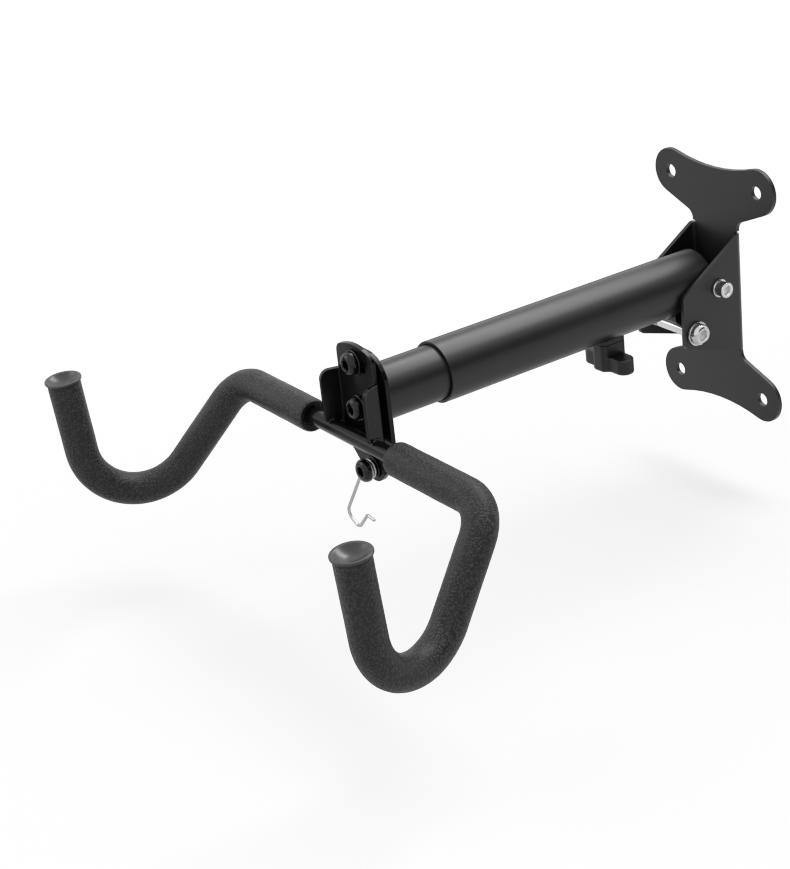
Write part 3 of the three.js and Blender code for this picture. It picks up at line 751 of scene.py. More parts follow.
@dataclass(frozen=True)
class Finish:
    """What every finish has: a name, a colour and a roughness, and how strongly it varies."""

    name: str
    colour: tuple[float, float, float]
    roughness: float
    grain: float = 0.6
    relief: float = 0.012
    patchiness: float = 0.05
    scuffed: float = 0.4
    metallic: float = 0.0
    specular: float = 0.5
    coat_roughness: float = 0.1
    # painted highlight: how many times brighter the rounded edges' colour is than the faces' colour
    edge_gain: float = 1.0
    edge_specular: float = 0.5
    edge_roughness: float = 0.0
    mottle: float = 0.12
    scuff_roughness: float = 0.16

    def coats(self, effects: Effects) -> Coat:
        """Builds the materials of a piece's faces and of its rounded edges, whose colour is brightened by
        the gain as a painted highlight.

        Args:
            effects: The shared node groups.

        Returns:
            The material of the faces and the material of the rounded edges, with its painted highlight.
        """
        # painted highlight: the edges' colour is the faces' colour times the gain, capped at the palest
        # allowed
        colour = tuple(min(PALEST_PAINTED_HIGHLIGHT, part * self.edge_gain) for part in self.colour)
        edge = replace(
            self, name=self.name + "_edge", colour=colour, specular=self.edge_specular,
            roughness=max(self.roughness, self.edge_roughness),
        )
        return self.material(effects), edge.material(effects)

    def material(self, effects: Effects) -> Material:
        """Builds the material.

        Args:
            effects: The shared node groups.

        Returns:
            A material that reads only object coordinates.
        """
        material, board = new_material(self.name)
        where = board.add("ShaderNodeTexCoord").outputs["Object"]
        skin = board.add("ShaderNodeGroup", {"node_tree": effects.skin}, Vector=where, Grain=self.grain)
        marks = board.add(
            "ShaderNodeGroup", {"node_tree": effects.scuffs}, Vector=where, Amount=self.scuffed,
        )
        dark, light = (
            (*(part * share for part in self.colour), 1.0) for share in (1 - self.mottle, 1 + self.mottle)
        )
        colour = board.add(
            "ShaderNodeMix", {"data_type": "RGBA"}, in0=skin.outputs["Patches"], in6=dark, in7=light,
        ).outputs[2]
        height, colour, gloss = self.texture(board, where, skin.outputs["Height"], colour)
        smooth, dull = self.roughness - self.patchiness, self.roughness + self.patchiness
        rough = board.ramp(skin.outputs["Patches"], 0.0, 1.0, smooth, dull)
        worn = board.maths("MULTIPLY", marks.outputs["Mask"], self.scuff_roughness)
        bump = board.add("ShaderNodeBump", Height=height, Distance=self.relief / METRE, Strength=1.0)
        shader = board.add(
            "ShaderNodeBsdfPrincipled", Base_Color=colour, Roughness=board.maths("ADD", rough, worn),
            Normal=bump.outputs[0], Metallic=self.metallic,
        )
        shader.inputs["Specular IOR Level"].default_value = self.specular
        if gloss:
            board.tree.links.new(gloss, shader.inputs["Coat Weight"])
        shader.inputs["Coat Roughness"].default_value = self.coat_roughness
        board.show(shader)
        return material

    def texture(
        self, board: Board, where: Socket, height: Socket, colour: Socket,
    ) -> tuple[Socket, Socket, Socket | None]:
        """What a finish makes of its skin. A plain one takes it as it is.

        Args:
            board: The material's board.
            where: Object coordinates.
            height: Height of the skin.
            colour: Colour of the skin.

        Returns:
            The height that the bump reads, the colour, and the coat's weight where it varies.
        """
        return height, colour, None


@dataclass(frozen=True)
class Foam(Finish):
    """Closed-cell foam with a pebbled skin, polished on the pebbles' tops, with painted shade darkening the
    creases between them.
    """

    pebble: float = 1.35
    blend: float = 0.35
    dome: tuple[float, float] = (0.02, 0.66)
    top: tuple[float, float] = (0.16, 0.62)
    pores: float = 0.18
    # painted shade: the colour of the creases between pebbles, darker than the foam's own colour
    painted_crease_shade: tuple[float, float, float] = (0.0050, 0.0050, 0.0053)
    polish: float = 0.4

    def texture(
        self, board: Board, where: Socket, height: Socket, colour: Socket,
    ) -> tuple[Socket, Socket, Socket | None]:
        """Pebbles of uneven size, with painted shade that darkens the creases between them.

        Args:
            board: The material's board.
            where: Object coordinates.
            height: Height of the skin.
            colour: Colour of the skin.

        Returns:
            The pebbles' height, their colour with the painted crease shade, and a coat that lies on their
            tops.
        """
        spaced = board.add(
            "ShaderNodeVectorMath", {"operation": "SCALE"}, in0=where, in3=METRE / self.pebble,
        ).outputs[0]
        cells = board.add(
            "ShaderNodeTexVoronoi", {"feature": "SMOOTH_F1"}, Vector=spaced, Scale=1.0,
            Smoothness=self.blend,
        ).outputs["Distance"]
        dome, top = (board.ramp(cells, *span, 1.0, 0.0) for span in (self.dome, self.top))
        # painted shade: the creases take the darker crease colour and the pebble tops take the foam's own
        # colour
        tone = board.add(
            "ShaderNodeMix", {"data_type": "RGBA"}, in0=top, in6=(*self.painted_crease_shade, 1.0), in7=colour,
        ).outputs[2]
        relief = board.maths("ADD", dome, board.maths("MULTIPLY", height, self.pores))
        return relief, tone, board.maths("MULTIPLY", top, self.polish)


class Finishes:
    """Every finish of the rack as a material."""

    def __init__(self) -> None:
        """Builds the materials."""
        effects = Effects()
        # edge gains above 1 paint a highlight into the colour of the rounded edges of powder coat, enamel
        # and black plating
        self.powder = Finish(
            "satin_powder_coat", (0.0100, 0.0100, 0.0108), 0.36, grain=0.7, relief=0.006, patchiness=0.012,
            scuffed=0.25, edge_gain=1.6, edge_specular=0.9,
        ).coats(effects)
        self.enamel = Finish(
            "gloss_enamel", (0.0050, 0.0050, 0.0058), 0.17, grain=1.6, relief=0.006, patchiness=0.03,
            scuffed=0.4, specular=0.22, edge_gain=14.0, edge_specular=1.0, edge_roughness=0.3,
        ).coats(effects)
        self.chrome = Finish(
            "bright_chrome", (0.68, 0.685, 0.70), 0.08, grain=0.8, relief=0.001, patchiness=0.03,
            scuffed=0.5, metallic=1.0,
        ).coats(effects)
        self.black_plating = Finish(
            "black_plating", (0.0035, 0.0035, 0.0040), 0.12, grain=1.0, relief=0.002, patchiness=0.03,
            scuffed=0.3, specular=0.4, edge_gain=4.0, edge_specular=1.0, edge_roughness=0.16,
        ).coats(effects)
        self.zinc = Finish(
            "bright_zinc", (0.55, 0.56, 0.58), 0.2, grain=0.5, relief=0.002, patchiness=0.06,
            scuffed=0.7, metallic=1.0,
        ).coats(effects)
        self.plastic = Finish(
            "moulded_plastic", (0.0095, 0.0095, 0.0102), 0.42, grain=0.35, relief=0.010, patchiness=0.04,
            scuffed=0.4, specular=0.4, edge_specular=0.6,
        ).coats(effects)
        self.cap_plastic = Finish(
            "cap_plastic", (0.0190, 0.0190, 0.0200), 0.32, grain=0.5, relief=0.004, patchiness=0.03,
            scuffed=0.4, specular=0.75, edge_specular=0.8,
        ).coats(effects)
        self.foam = Foam(
            "pebbled_foam", (0.0190, 0.0190, 0.0198), 0.48, grain=0.35, relief=0.42, patchiness=0.05,
            scuffed=0.2, specular=0.42, coat_roughness=0.38,
        ).coats(effects)


# ---- fasteners ----


@dataclass(frozen=True)
class Thread:
    """A metric thread, cut as rings. Shares are of its pitch."""

    shank: float
    pitch: float
    depth: float
    crest_share: float = 0.12
    root_start: float = 0.5
    root_end: float = 0.6

    @property
    def bore(self) -> float:
        """Radius of a hole that it passes through."""
        return self.shank / 2 + CLEAR

    def rings(self, start: float, end: float) -> Profile:
        """The thread's outline between two heights.

        Args:
            start: Height where it starts.
            end: Height where it ends.

        Returns:
            Pairs of radius and height.
        """
        crest = self.shank / 2
        points: Profile = []
        for i in range(int((end - start) / self.pitch)):
            foot = start + i * self.pitch
            points += [
                (crest, foot), (crest, foot + self.crest_share * self.pitch),
                (crest - self.depth, foot + self.root_start * self.pitch),
                (crest - self.depth, foot + self.root_end * self.pitch),
            ]
        return points


M6 = Thread(6.0, 1.0, 0.5)
M8 = Thread(8.0, 1.25, 0.6)


@dataclass(frozen=True)
class Screw:
    """A screw with a domed head and a hexagon socket."""

    thread: Thread
    head: float
    height: float
    lip: float
    crown: float
    socket: float
    socket_depth: float
    chamfer: float = 0.8
    runout: float = 0.3
    seat_edge: float = 0.25
    drill_tip: float = 0.9
    drill_play: float = 0.1
    sink: float = 0.35
    sink_depth: float = 0.6

    def build(self, name: str, node: str, axis: Vector, thread_length: float) -> Object:
        """Models the screw where its node is.

        Args:
            name: Name of the new object.
            node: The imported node.
            axis: The way its head looks.
            thread_length: How much of the shank is threaded.

        Returns:
            The screw.
        """
        low, high = corners(node)
        centre = (low + high) / 2
        reach = (high - low).dot(Vector(map(abs, axis)))
        seat = centre + axis * (reach / 2 - self.height)
        tail = self.height - reach
        crest, rim, crown = self.thread.shank / 2, self.head / 2, self.crown / 2
        dome = [
            (crown + (rim - crown) * u, self.lip + (self.height - self.lip) * v)
            for u, v in arc(0, 0, 1, 0, 90, 10)
        ]
        profile = [
            (0, tail), (crest - self.chamfer, tail), (crest, tail + self.chamfer),
            *self.thread.rings(tail + self.chamfer + 0.1, tail + thread_length),
            (crest, tail + thread_length + self.runout), (crest, -self.seat_edge),
            (crest + self.seat_edge, 0), (rim - self.seat_edge, 0), (rim, self.seat_edge), *dome,
            (0, self.height),
        ]
        item = Bench.turned(name, profile, seat, axis, sides=72)
        top = seat + axis * (self.height + OVER)
        floor = seat + axis * (self.height - self.socket_depth)
        flat, point = self.socket / 2, self.socket / math.sqrt(3)
        key = Bench.peg(name + "_key", point, floor, top, sides=6)
        bit = flat - self.drill_play
        bit_profile = [(0, -self.drill_tip), (bit, 0), (bit, OVER), (0, OVER)]
        drill = Bench.turned(name + "_drill", bit_profile, floor, axis, sides=36)
        cone = [
            (0, -self.sink_depth), (flat, -self.sink_depth), (point + self.sink, self.sink), (0, self.sink),
        ]
        mouth = Bench.turned(name + "_mouth", cone, seat + axis * self.height, axis, sides=48)
        return Bench.cut(item, key, drill, mouth)


CAP_SCREW = Screw(M6, head=10.0, height=6.0, lip=5.4, crown=8.8, socket=5.0, socket_depth=3.0)
BUTTON_SCREW = Screw(M8, head=14.0, height=4.4, lip=0.9, crown=8.0, socket=6.0, socket_depth=3.0)


@dataclass(frozen=True)
class Washer:
    """A stamped washer, one side rounded by the punch."""

    bore: float
    burr: float = 0.12
    corner: float = 0.15
    punch: float = 0.3
    roll: tuple[tuple[float, float], ...] = ((0.0, 0.45), (0.13, 0.17), (0.4, 0.0))

    def build(self, name: str, node: str, axis: Vector) -> Object:
        """Models the washer where its node is.

        Args:
            name: Name of the new object.
            node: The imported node.
            axis: Its axis, towards the rounded side.

        Returns:
            The washer.
        """
        low, high = corners(node)
        thick = (high - low).dot(Vector(map(abs, axis)))
        outer = max(high - low) / 2
        seat = (low + high) / 2 - axis * thick / 2
        profile = [
            (self.bore, self.burr), (self.bore + self.burr, 0),
            (outer - self.corner, 0), (outer, self.corner),
            *[(outer - inward, thick - down) for inward, down in self.roll],
            (self.bore + self.punch, thick), (self.bore, thick - self.punch), (self.bore, self.burr),
        ]
        return Bench.turned(name, profile, seat, axis, sides=72)


# ---- sub-assemblies ----


@dataclass
class Assembly:
    """A sub-assembly whose pieces all ride on one body."""

    finishes: Finishes
    body: ClassVar[Body]

    def add(self, item: Object, slot: Slot, coat: Coat, *nodes: str, sharp: float = 32.0) -> Object:
        """Scales a finished piece to metres, shades and dresses it, and sets what it rides on.

        Args:
            item: The piece.
            slot: The record's slot of its finish.
            coat: Its materials, for its faces and for its rounded edges.
            *nodes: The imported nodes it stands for.
            sharp: Angle in degrees above which an edge shows.

        Returns:
            The same object.
        """
        Bench.pick(item)
        item.scale = (1 / METRE,) * 3
        Bench.settle(item.name)
        bpy.ops.object.shade_smooth_by_angle(angle=math.radians(sharp))
        Bench.modify(item, "WEIGHTED_NORMAL", keep_sharp=True, weight=60)
        slots = item.data.materials
        while len(slots) < 2:
            slots.append(None)
        slots[0], slots[1] = coat
        if not any(face.material_index for face in item.data.polygons):
            slots.pop(index=1)
        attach(item, self.body.value)
        if nodes:
            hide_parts(*nodes)
        LOG.info("%s: %d faces, on %s", item.name, len(item.data.polygons), self.body.value)
        return item

    def trace(self, name: str, node: str, edge: float, slot: Slot, coat: Coat, segments: int = 2) -> None:
        """Adds a piece that is a rounded copy of its node."""
        self.add(Bench.traced(name, node, edge, segments), slot, coat, node)


@dataclass
class WallBracket(Assembly):
    """The bent sheet on the wall and the two bolts through its cheeks."""

    body: ClassVar[Body] = Body.WALL
    sheet_edge: float = 0.35
    nut_edge: float = 0.3
    pivot_thread: float = 14.0
    rest_thread: float = 22.0

    def build(self) -> None:
        """Models every piece of the bracket."""
        chrome = Slot.CHROME, self.finishes.chrome
        self.trace("bracket_sheet", "wall_bracket", self.sheet_edge, Slot.SATIN_STEEL, self.finishes.powder)
        for kind, screw, length in (
            ("pivot", CAP_SCREW, self.pivot_thread), ("rest", BUTTON_SCREW, self.rest_thread),
        ):
            self.add(screw.build(f"{kind}_screw", f"{kind}_bolt", X, length), *chrome, f"{kind}_bolt")
            for place, way in (("near", X), ("far", -X)):
                node = f"{kind}_washer_{place}"
                ring = Washer(screw.thread.bore).build(f"{kind}_ring_{place}", node, way)
                self.add(ring, *chrome, node)
            self.trace(f"{kind}_lock_nut", f"{kind}_nut", self.nut_edge, *chrome)


@dataclass
class Arm(Assembly):
    """The outer tube with its bush and rest pad."""

    body: ClassVar[Body] = Body.ARM
    wall: float = 1.5
    rim: float = 0.3
    notch: float = 6.3
    notch_reach: float = 30.0
    slot_half: float = 4.5
    travel: float = 100.0
    clamp_reach: float = 79.3
    bush_edge: float = 0.3
    pad_edge: float = 0.5

    def tube(self) -> Object:
        """The tube, notched for the bush and slotted for the clamp screw.

        Returns:
            The tube.
        """
        item = Bench.tube("outer_tube_skin", "outer_tube", self.wall)
        low, _ = corners("outer_tube")
        pivot = middle("pivot_bush")
        out = X * self.notch_reach
        notch = Bench.peg("notch", self.notch, pivot - out, pivot + out, sides=64)
        rear, front = -self.clamp_reach, -self.clamp_reach - self.travel
        outline = arc(0, rear, self.slot_half, 0, 180, 14) + arc(0, front, self.slot_half, 180, 360, 14)
        slot = Bench.slab("slot", outline, Z, low.z - OVER, 0)
        Bench.cut(item, notch, slot)
        return Bench.round_edges(item, self.rim, segments=2, angle=40)

    def build(self) -> None:
        """Models every piece of the arm."""
        steel = Slot.SATIN_STEEL, self.finishes.powder
        self.add(self.tube(), *steel, "outer_tube")
        self.trace("bush_sleeve", "pivot_bush", self.bush_edge, *steel)
        self.trace("rest_block", "rest_pad", self.pad_edge, *steel)


@dataclass
class Slider(Assembly):
    """The inner tube with its saddle, and the head plate with its screws."""

    body: ClassVar[Body] = Body.SLIDER
    wall: float = 1.5
    rim: float = 0.25
    drill_reach: float = 10.0
    plate_edge: float = 0.65
    weld: float = 1.3
    weld_root: float = 0.3
    weld_gap: float = 0.1
    weld_seat: float = 0.05
    weld_ripple: tuple[float, float] = (1.6, 0.3)
    saddle_edge: float = 0.6
    nut_edge: float = 0.3
    press_edge: float = 0.15
    short_thread: float = 5.5
    long_thread: float = 13.0

    def tube(self) -> Object:
        """The inner tube, drilled for the clamp screw.

        Returns:
            The tube.
        """
        item = Bench.tube("inner_tube_skin", "inner_tube", self.wall)
        foot = middle("clamp_screw")
        foot.z = corners("inner_tube")[0].z - OVER
        drill = Bench.peg("drill", M8.bore, foot, foot + Z * self.drill_reach)
        Bench.cut(item, drill)
        return Bench.round_edges(item, self.rim, segments=2, angle=40)

    def ring_weld(self) -> Object:
        """The rippled bead that joins the inner tube to the head plate.

        Returns:
            The bead.
        """
        low, high = corners("inner_tube")
        radius = (high.x - low.x) / 2 + self.weld_gap
        plate = corners("head_plate")[1].y + self.weld_seat
        inner = radius - self.weld_root
        profile = [(inner, 0), *arc(radius, 0, self.weld, 0, 90, 6), (inner, self.weld), (inner, 0)]
        item = Bench.turned("ring_weld", profile, Vector((0, plate, 0)), Y, sides=200)
        return Bench.roughen(item, "CLOUDS", *self.weld_ripple)

    def build(self) -> None:
        """Models every piece of the slider."""
        shop = self.finishes
        steel, zinc = (Slot.SATIN_STEEL, shop.powder), (Slot.ZINC, shop.zinc)
        black = Slot.BLACK_SCREW, shop.black_plating
        self.add(self.tube(), *steel, "inner_tube")
        self.add(self.ring_weld(), *steel)
        self.trace("saddle_block", "clamp_saddle", self.saddle_edge, Slot.PLASTIC, shop.plastic, 3)
        self.trace("slide_nut_hex", "slide_nut", self.nut_edge, *zinc)
        self.trace("head_sheet", "head_plate", self.plate_edge, Slot.GLOSS_STEEL, shop.enamel, 3)
        for kind, length in (
            ("tilt_lock", self.short_thread), ("tilt_pivot", self.long_thread), ("hook", self.long_thread),
        ):
            screw = BUTTON_SCREW.build(f"{kind}_button", f"{kind}_screw", -Y, length)
            self.add(screw, *black, f"{kind}_screw")
        for node in (
            "tilt_lock_washer", "tilt_lock_spacer", "tilt_pivot_washer", "tilt_pivot_spacer", "hook_washer",
        ):
            self.add(Washer(M8.bore).build(f"{node}_ring", node, -Y), *black, node)
        for kind in ("tilt_pivot", "hook"):
            self.trace(f"{kind}_hex", f"{kind}_nut", self.nut_edge, *zinc)
        self.trace("press_nut", "tilt_lock_nut", self.press_edge, *black)


@dataclass
class Knob(Assembly):
    """The two-winged clamp knob and its screw."""

    body: ClassVar[Body] = Body.KNOB
    hub_width: float = 13.0
    hub_length: float = 19.0
    hub_corner: float = 4.0
    wing: float = 6.0
    span: float = 20.0
    blend: float = 4.0
    wing_height: float = 10.0
    wing_edge: float = 1.1
    hub_foot: float = 3.0
    well_foot: float = 2.7
    seam: float = 0.25
    stud_chamfer: float = 0.8

    @property
    def corner(self) -> tuple[float, float]:
        """Centre of the rounding of the hub's first corner."""
        return self.hub_width / 2 - self.hub_corner, self.hub_length / 2 - self.hub_corner

    def hub_plan(self) -> Profile:
        """The hub's plan, a rectangle with rounded corners.

        Returns:
            Its points, once round.
        """
        half = arc(*self.corner, self.hub_corner, 0, 90, 10)
        half += [(-u, v) for u, v in reversed(half)]
        return half + [(u, -v) for u, v in reversed(half)]

    def plan(self) -> Profile:
        """The plan of the wings and the hub between them.

        Returns:
            Its points, once round.
        """
        u, v = self.corner
        blend_v = self.wing + self.blend
        blend_u = u + math.sqrt((self.hub_corner + self.blend) ** 2 - (blend_v - v) ** 2)
        angle = math.degrees(math.atan2(blend_v - v, blend_u - u))
        quarter = [
            *arc(self.span - self.wing, 0, self.wing, 0, 90, 12),
            *arc(blend_u, blend_v, self.blend, 270, 180 + angle, 7),
            *arc(u, v, self.hub_corner, angle, 90, 7)[1:],
        ]
        upper = quarter + [(-u, v) for u, v in reversed(quarter)]
        return upper + [(u, -v) for u, v in reversed(upper[1:-1])]

    def build(self) -> None:
        """Models the knob and its screw."""
        low, high = corners("wing_knob")
        centre = (low + high) / 2
        outline, hub_outline = (
            [(centre.x + u, centre.y + v) for u, v in plan] for plan in (self.plan(), self.hub_plan())
        )
        shoulder = low.z + self.wing_height
        wings = Bench.slab("knob_wings", outline, Z, low.z, shoulder)
        Bench.round_edges(wings, self.wing_edge, segments=4, angle=50)
        hub = Bench.slab("knob_hub", hub_outline, Z, low.z + self.hub_foot, high.z)
        item = Bench.fuse(wings, hub)
        item.name = "knob_moulding"
        bottom, mouth = (Vector((centre.x, centre.y, z)) for z in (low.z + self.well_foot, high.z + OVER))
        Bench.cut(item, Bench.peg("well", M8.bore, bottom, mouth))
        Bench.round_edges(item, self.seam, segments=2, angle=50)
        self.add(item, Slot.PLASTIC, self.finishes.plastic, "wing_knob")
        foot, top = corners("clamp_screw")
        length = top.z - foot.z
        crest = M8.shank / 2
        profile = [
            (0, 0), (crest, 0), *M8.rings(0.3, length - self.stud_chamfer - 0.6),
            (crest, length - self.stud_chamfer), (crest - self.stud_chamfer, length), (0, length),
        ]
        stud = Bench.turned("clamp_stud", profile, Vector((centre.x, centre.y, foot.z)), Z, sides=48)
        self.add(stud, Slot.ZINC, self.finishes.zinc, "clamp_screw")


@dataclass
class HookFrame(Assembly):
    """The tilt bracket, the bent rod welded to it, the foam sleeves and the end caps."""

    body: ClassVar[Body] = Body.HOOK_FRAME
    web: float = 2.5
    rod: float = 5.0
    rod_offset: float = 6.2
    rod_z: float = -21.6
    shoulder_x: float = 129.4
    shoulder_radius: float = 23.3
    toe: tuple[float, float, float] = (161.2, 101.5, -132.8)
    toe_radius: float = 36.5
    tip: tuple[float, float, float] = (161.0, 111.6, 3.3)
    foam: float = 10.1
    foam_start: float = 43.7
    foam_bore: float = 5.3
    foam_sides: int = 96
    foam_pitch: float = 0.68
    foam_ends: tuple[float, ...] = (0.93, 0.972, 0.991)
    foam_swell: tuple[float, float] = (14.0, 0.25)
    foam_grain: tuple[float, float] = (0.85, -0.16)
    end_gap: float = 0.3
    tip_gap: float = 0.5
    cap_rim: float = 1.4
    cap_depth: float = 6.0
    cap_plug: float = 8.8
    cap_play: float = 0.2
    cap_chamfer: float = 0.6
    cap_round: float = 0.5
    cap_back: float = 0.3
    cap_radius: float = 11.3
    cap_lip: float = 1.8
    cap_dish: float = 3.5
    cap_rings: tuple[float, ...] = (1, 0.94, 0.86, 0.76, 0.64, 0.5, 0.34, 0.16)
    bracket_edge: float = 0.55
    flange_outer: float = 23.18
    flange_inner: float = 20.57
    splay: float = 17.0
    bead: float = 0.85
    bead_offset: float = 0.25
    bead_spots: tuple[int, ...] = (-48, -24, 0, 24, 48)
    bead_bend: float = 2.0
    bead_lift: float = 0.2
    bead_ripple: tuple[float, float] = (1.1, 0.55)

    def face(self) -> float:
        """How far out the front face of the bracket's web lies, as y."""
        return corners("tilt_bracket")[1].y - self.web

    def place(self, side: Side, x: float, reach: float, z: float) -> Vector:
        """A point given by how far it is in front of the web."""
        return Vector((side.value * x, self.face() - reach, z))

    def hook(self, side: Side) -> list[Vector]:
        """The corners of one hook's line.

        Args:
            side: Which hook.

        Returns:
            Where the rod turns forward, its toe and its tip.
        """
        return [
            self.place(side, self.shoulder_x, self.rod_offset, self.rod_z),
            self.place(side, *self.toe),
            self.place(side, *self.tip),
        ]

    def heading(self, side: Side) -> Vector:
        """The way a hook's tip looks."""
        _, toe, tip = self.hook(side)
        return (tip - toe).normalized()

    def before_tip(self, side: Side, distance: float) -> Vector:
        """A point some way back from a tip along the rod."""
        return self.hook(side)[2] - self.heading(side) * distance

    def bar(self) -> Object:
        """The rod, one length from tip to tip.

        Returns:
            The rod with rounded ends.
        """
        ends = {side: self.before_tip(side, self.cap_depth + self.tip_gap) for side in Side}
        left, right = self.hook(Side.LEFT)[:2], self.hook(Side.RIGHT)[:2]
        points = [ends[Side.LEFT], *reversed(left), *right, ends[Side.RIGHT]]
        radii = [self.toe_radius, self.shoulder_radius, self.shoulder_radius, self.toe_radius]
        item = Bench.pipe("bent_rod", self.rod, Line.bent(points, radii), sides=64, pitch=3.0)
        return Bench.round_edges(item, 0.6, segments=3, angle=50)

    def ring(self, places: np.ndarray, centre: Vector, way: Vector, depth: float) -> np.ndarray:
        """Which places lie on the sleeve's ring that is some depth from an end.

        Args:
            places: Rows of coordinates.
            centre: Middle of the sleeve's end.
            way: Direction of the sleeve there.
            depth: How far the ring lies from the end.

        Returns:
            Yes or no for each row.
        """
        apart = places - np.array(centre)
        level = np.abs(np.abs(apart @ np.array(way)) - depth) < 0.3 * self.foam_pitch
        return level & (np.linalg.norm(apart, axis=1) < self.foam + 2)

    def near(self, places: np.ndarray, end: Vector, way: Vector, depth: float) -> np.ndarray:
        """Which places lie within some depth of a sleeve's end.

        Args:
            places: Rows of coordinates.
            end: Middle of the sleeve's end.
            way: Direction of the sleeve there, inwards.
            depth: How far from the end they may lie.

        Returns:
            Yes or no for each row.
        """
        apart = places - np.array(end)
        return (apart @ np.array(way) < depth) & (np.linalg.norm(apart, axis=1) < self.foam + 1)

    def sleeve(self, side: Side) -> Object:
        """A foam sleeve with a pebbled skin, a soft end and a bore for the rod.

        Args:
            side: Which hook it covers.

        Returns:
            The sleeve.
        """
        start = self.place(side, self.foam_start, self.rod_offset, self.rod_z)
        end = self.before_tip(side, self.cap_rim + self.end_gap)
        shoulder, toe, _ = self.hook(side)
        line = Line.bent([start, shoulder, toe, end], [self.shoulder_radius, self.toe_radius])
        item = Bench.pipe(
            f"sleeve_{side.name.lower()}", self.foam, line, self.foam_sides, self.foam_pitch, closed=False,
        )
        back = -self.heading(side)
        ends = ((start, line.heading), (end, back))
        for step, share in enumerate(self.foam_ends):
            depth = step * self.foam_pitch
            for place, way in ends:
                Bench.select(item, lambda co: self.ring(co, place, way, depth))
                bpy.ops.transform.resize(value=(share,) * 3, center_override=place + way * depth)
                Bench.done()
        item.vertex_groups.new(name="skin")
        count = len(item.data.vertices)
        Bench.modify(item, "SOLIDIFY", thickness=self.foam - self.foam_bore, offset=-1.0)
        item.vertex_groups["skin"].add(list(range(count)), 1.0, "REPLACE")
        well = self.cap_depth + self.end_gap - self.cap_rim
        Bench.select(item, lambda co: (np.arange(len(co)) >= count) & self.near(co, end, back, well))
        widen = (self.cap_plug + self.cap_play) / self.foam_bore
        across = back.to_track_quat("Z", "Y").to_matrix()
        bpy.ops.transform.resize(
            value=(widen, widen, 1.0), orient_type="GLOBAL", orient_matrix=across,
            orient_matrix_type="GLOBAL", center_override=end,
        )
        Bench.done()
        Bench.roughen(item, "CLOUDS", *self.foam_swell, "skin")
        Bench.roughen(item, "VORONOI", *self.foam_grain, "skin")
        item.vertex_groups.clear()
        return item

    def cap(self, side: Side) -> Object:
        """An end cap with a rounded rim and a dished top.

        Args:
            side: Which hook it closes.

        Returns:
            The cap.
        """
        rim, edge = self.cap_radius, self.cap_radius - self.cap_lip
        ball = (edge**2 + self.cap_dish**2) / (2 * self.cap_dish)
        dish = [
            (edge * share, ball - self.cap_dish - math.sqrt(ball**2 - (edge * share) ** 2))
            for share in self.cap_rings
        ]
        profile = [
            (self.cap_plug - self.cap_chamfer, -self.cap_depth),
            (self.cap_plug, self.cap_chamfer - self.cap_depth), (self.cap_plug, -self.cap_rim),
            (rim - self.cap_back, -self.cap_rim), (rim, self.cap_back - self.cap_rim),
            *arc(rim - self.cap_round, -self.cap_round, self.cap_round, 0, 90, 5), *dish,
        ]
        place = self.before_tip(side, 0)
        item = Bench.turned(f"cap_{side.name.lower()}", profile, place, self.heading(side), sides=72)
        Bench.edit(item)
        bpy.ops.mesh.fill_holes(sides=0)
        Bench.done()
        return Bench.round_edges(item, 0.3, segments=2, angle=32)

    def weld_bead(self, name: str, side: Side, x: float) -> Object:
        """A short bead over the top of the rod along a flange's foot.

        Args:
            name: Name of the new object.
            side: Which flange it joins.
            x: How far out its middle lies.

        Returns:
            The bead.
        """
        radius = self.rod + self.bead_lift
        spots = []
        for degrees in self.bead_spots:
            ahead = radius * math.sin(math.radians(degrees))
            height = radius * math.cos(math.radians(degrees))
            drift = ahead * math.tan(math.radians(self.splay))
            spots.append(self.place(side, x + drift, self.rod_offset + ahead, self.rod_z + height))
        bends = [self.bead_bend] * (len(spots) - 2)
        item = Bench.pipe(name, self.bead, Line.bent(spots, bends), sides=16, pitch=0.5)
        Bench.round_edges(item, 0.5, segments=2, angle=50)
        return Bench.roughen(item, "CLOUDS", *self.bead_ripple)

    def build(self) -> None:
        """Models every piece of the hook frame."""
        shop = self.finishes
        self.trace("tilt_sheet", "tilt_bracket", self.bracket_edge, Slot.GLOSS_STEEL, shop.enamel, 3)
        self.add(self.bar(), Slot.SATIN_STEEL, shop.enamel, "hook_rod")
        for side in Side:
            word = side.name.lower()
            foam = self.add(self.sleeve(side), Slot.FOAM, shop.foam, f"foam_sleeve_{word}", sharp=60.0)
            self.add(self.cap(side), Slot.PLASTIC, shop.cap_plastic, f"end_cap_{word}")
            for place, x in (
                ("outer", self.flange_outer + self.bead_offset),
                ("inner", self.flange_inner - self.bead_offset),
            ):
                self.add(self.weld_bead(f"weld_{word}_{place}", side, x), Slot.GLOSS_STEEL, shop.enamel)


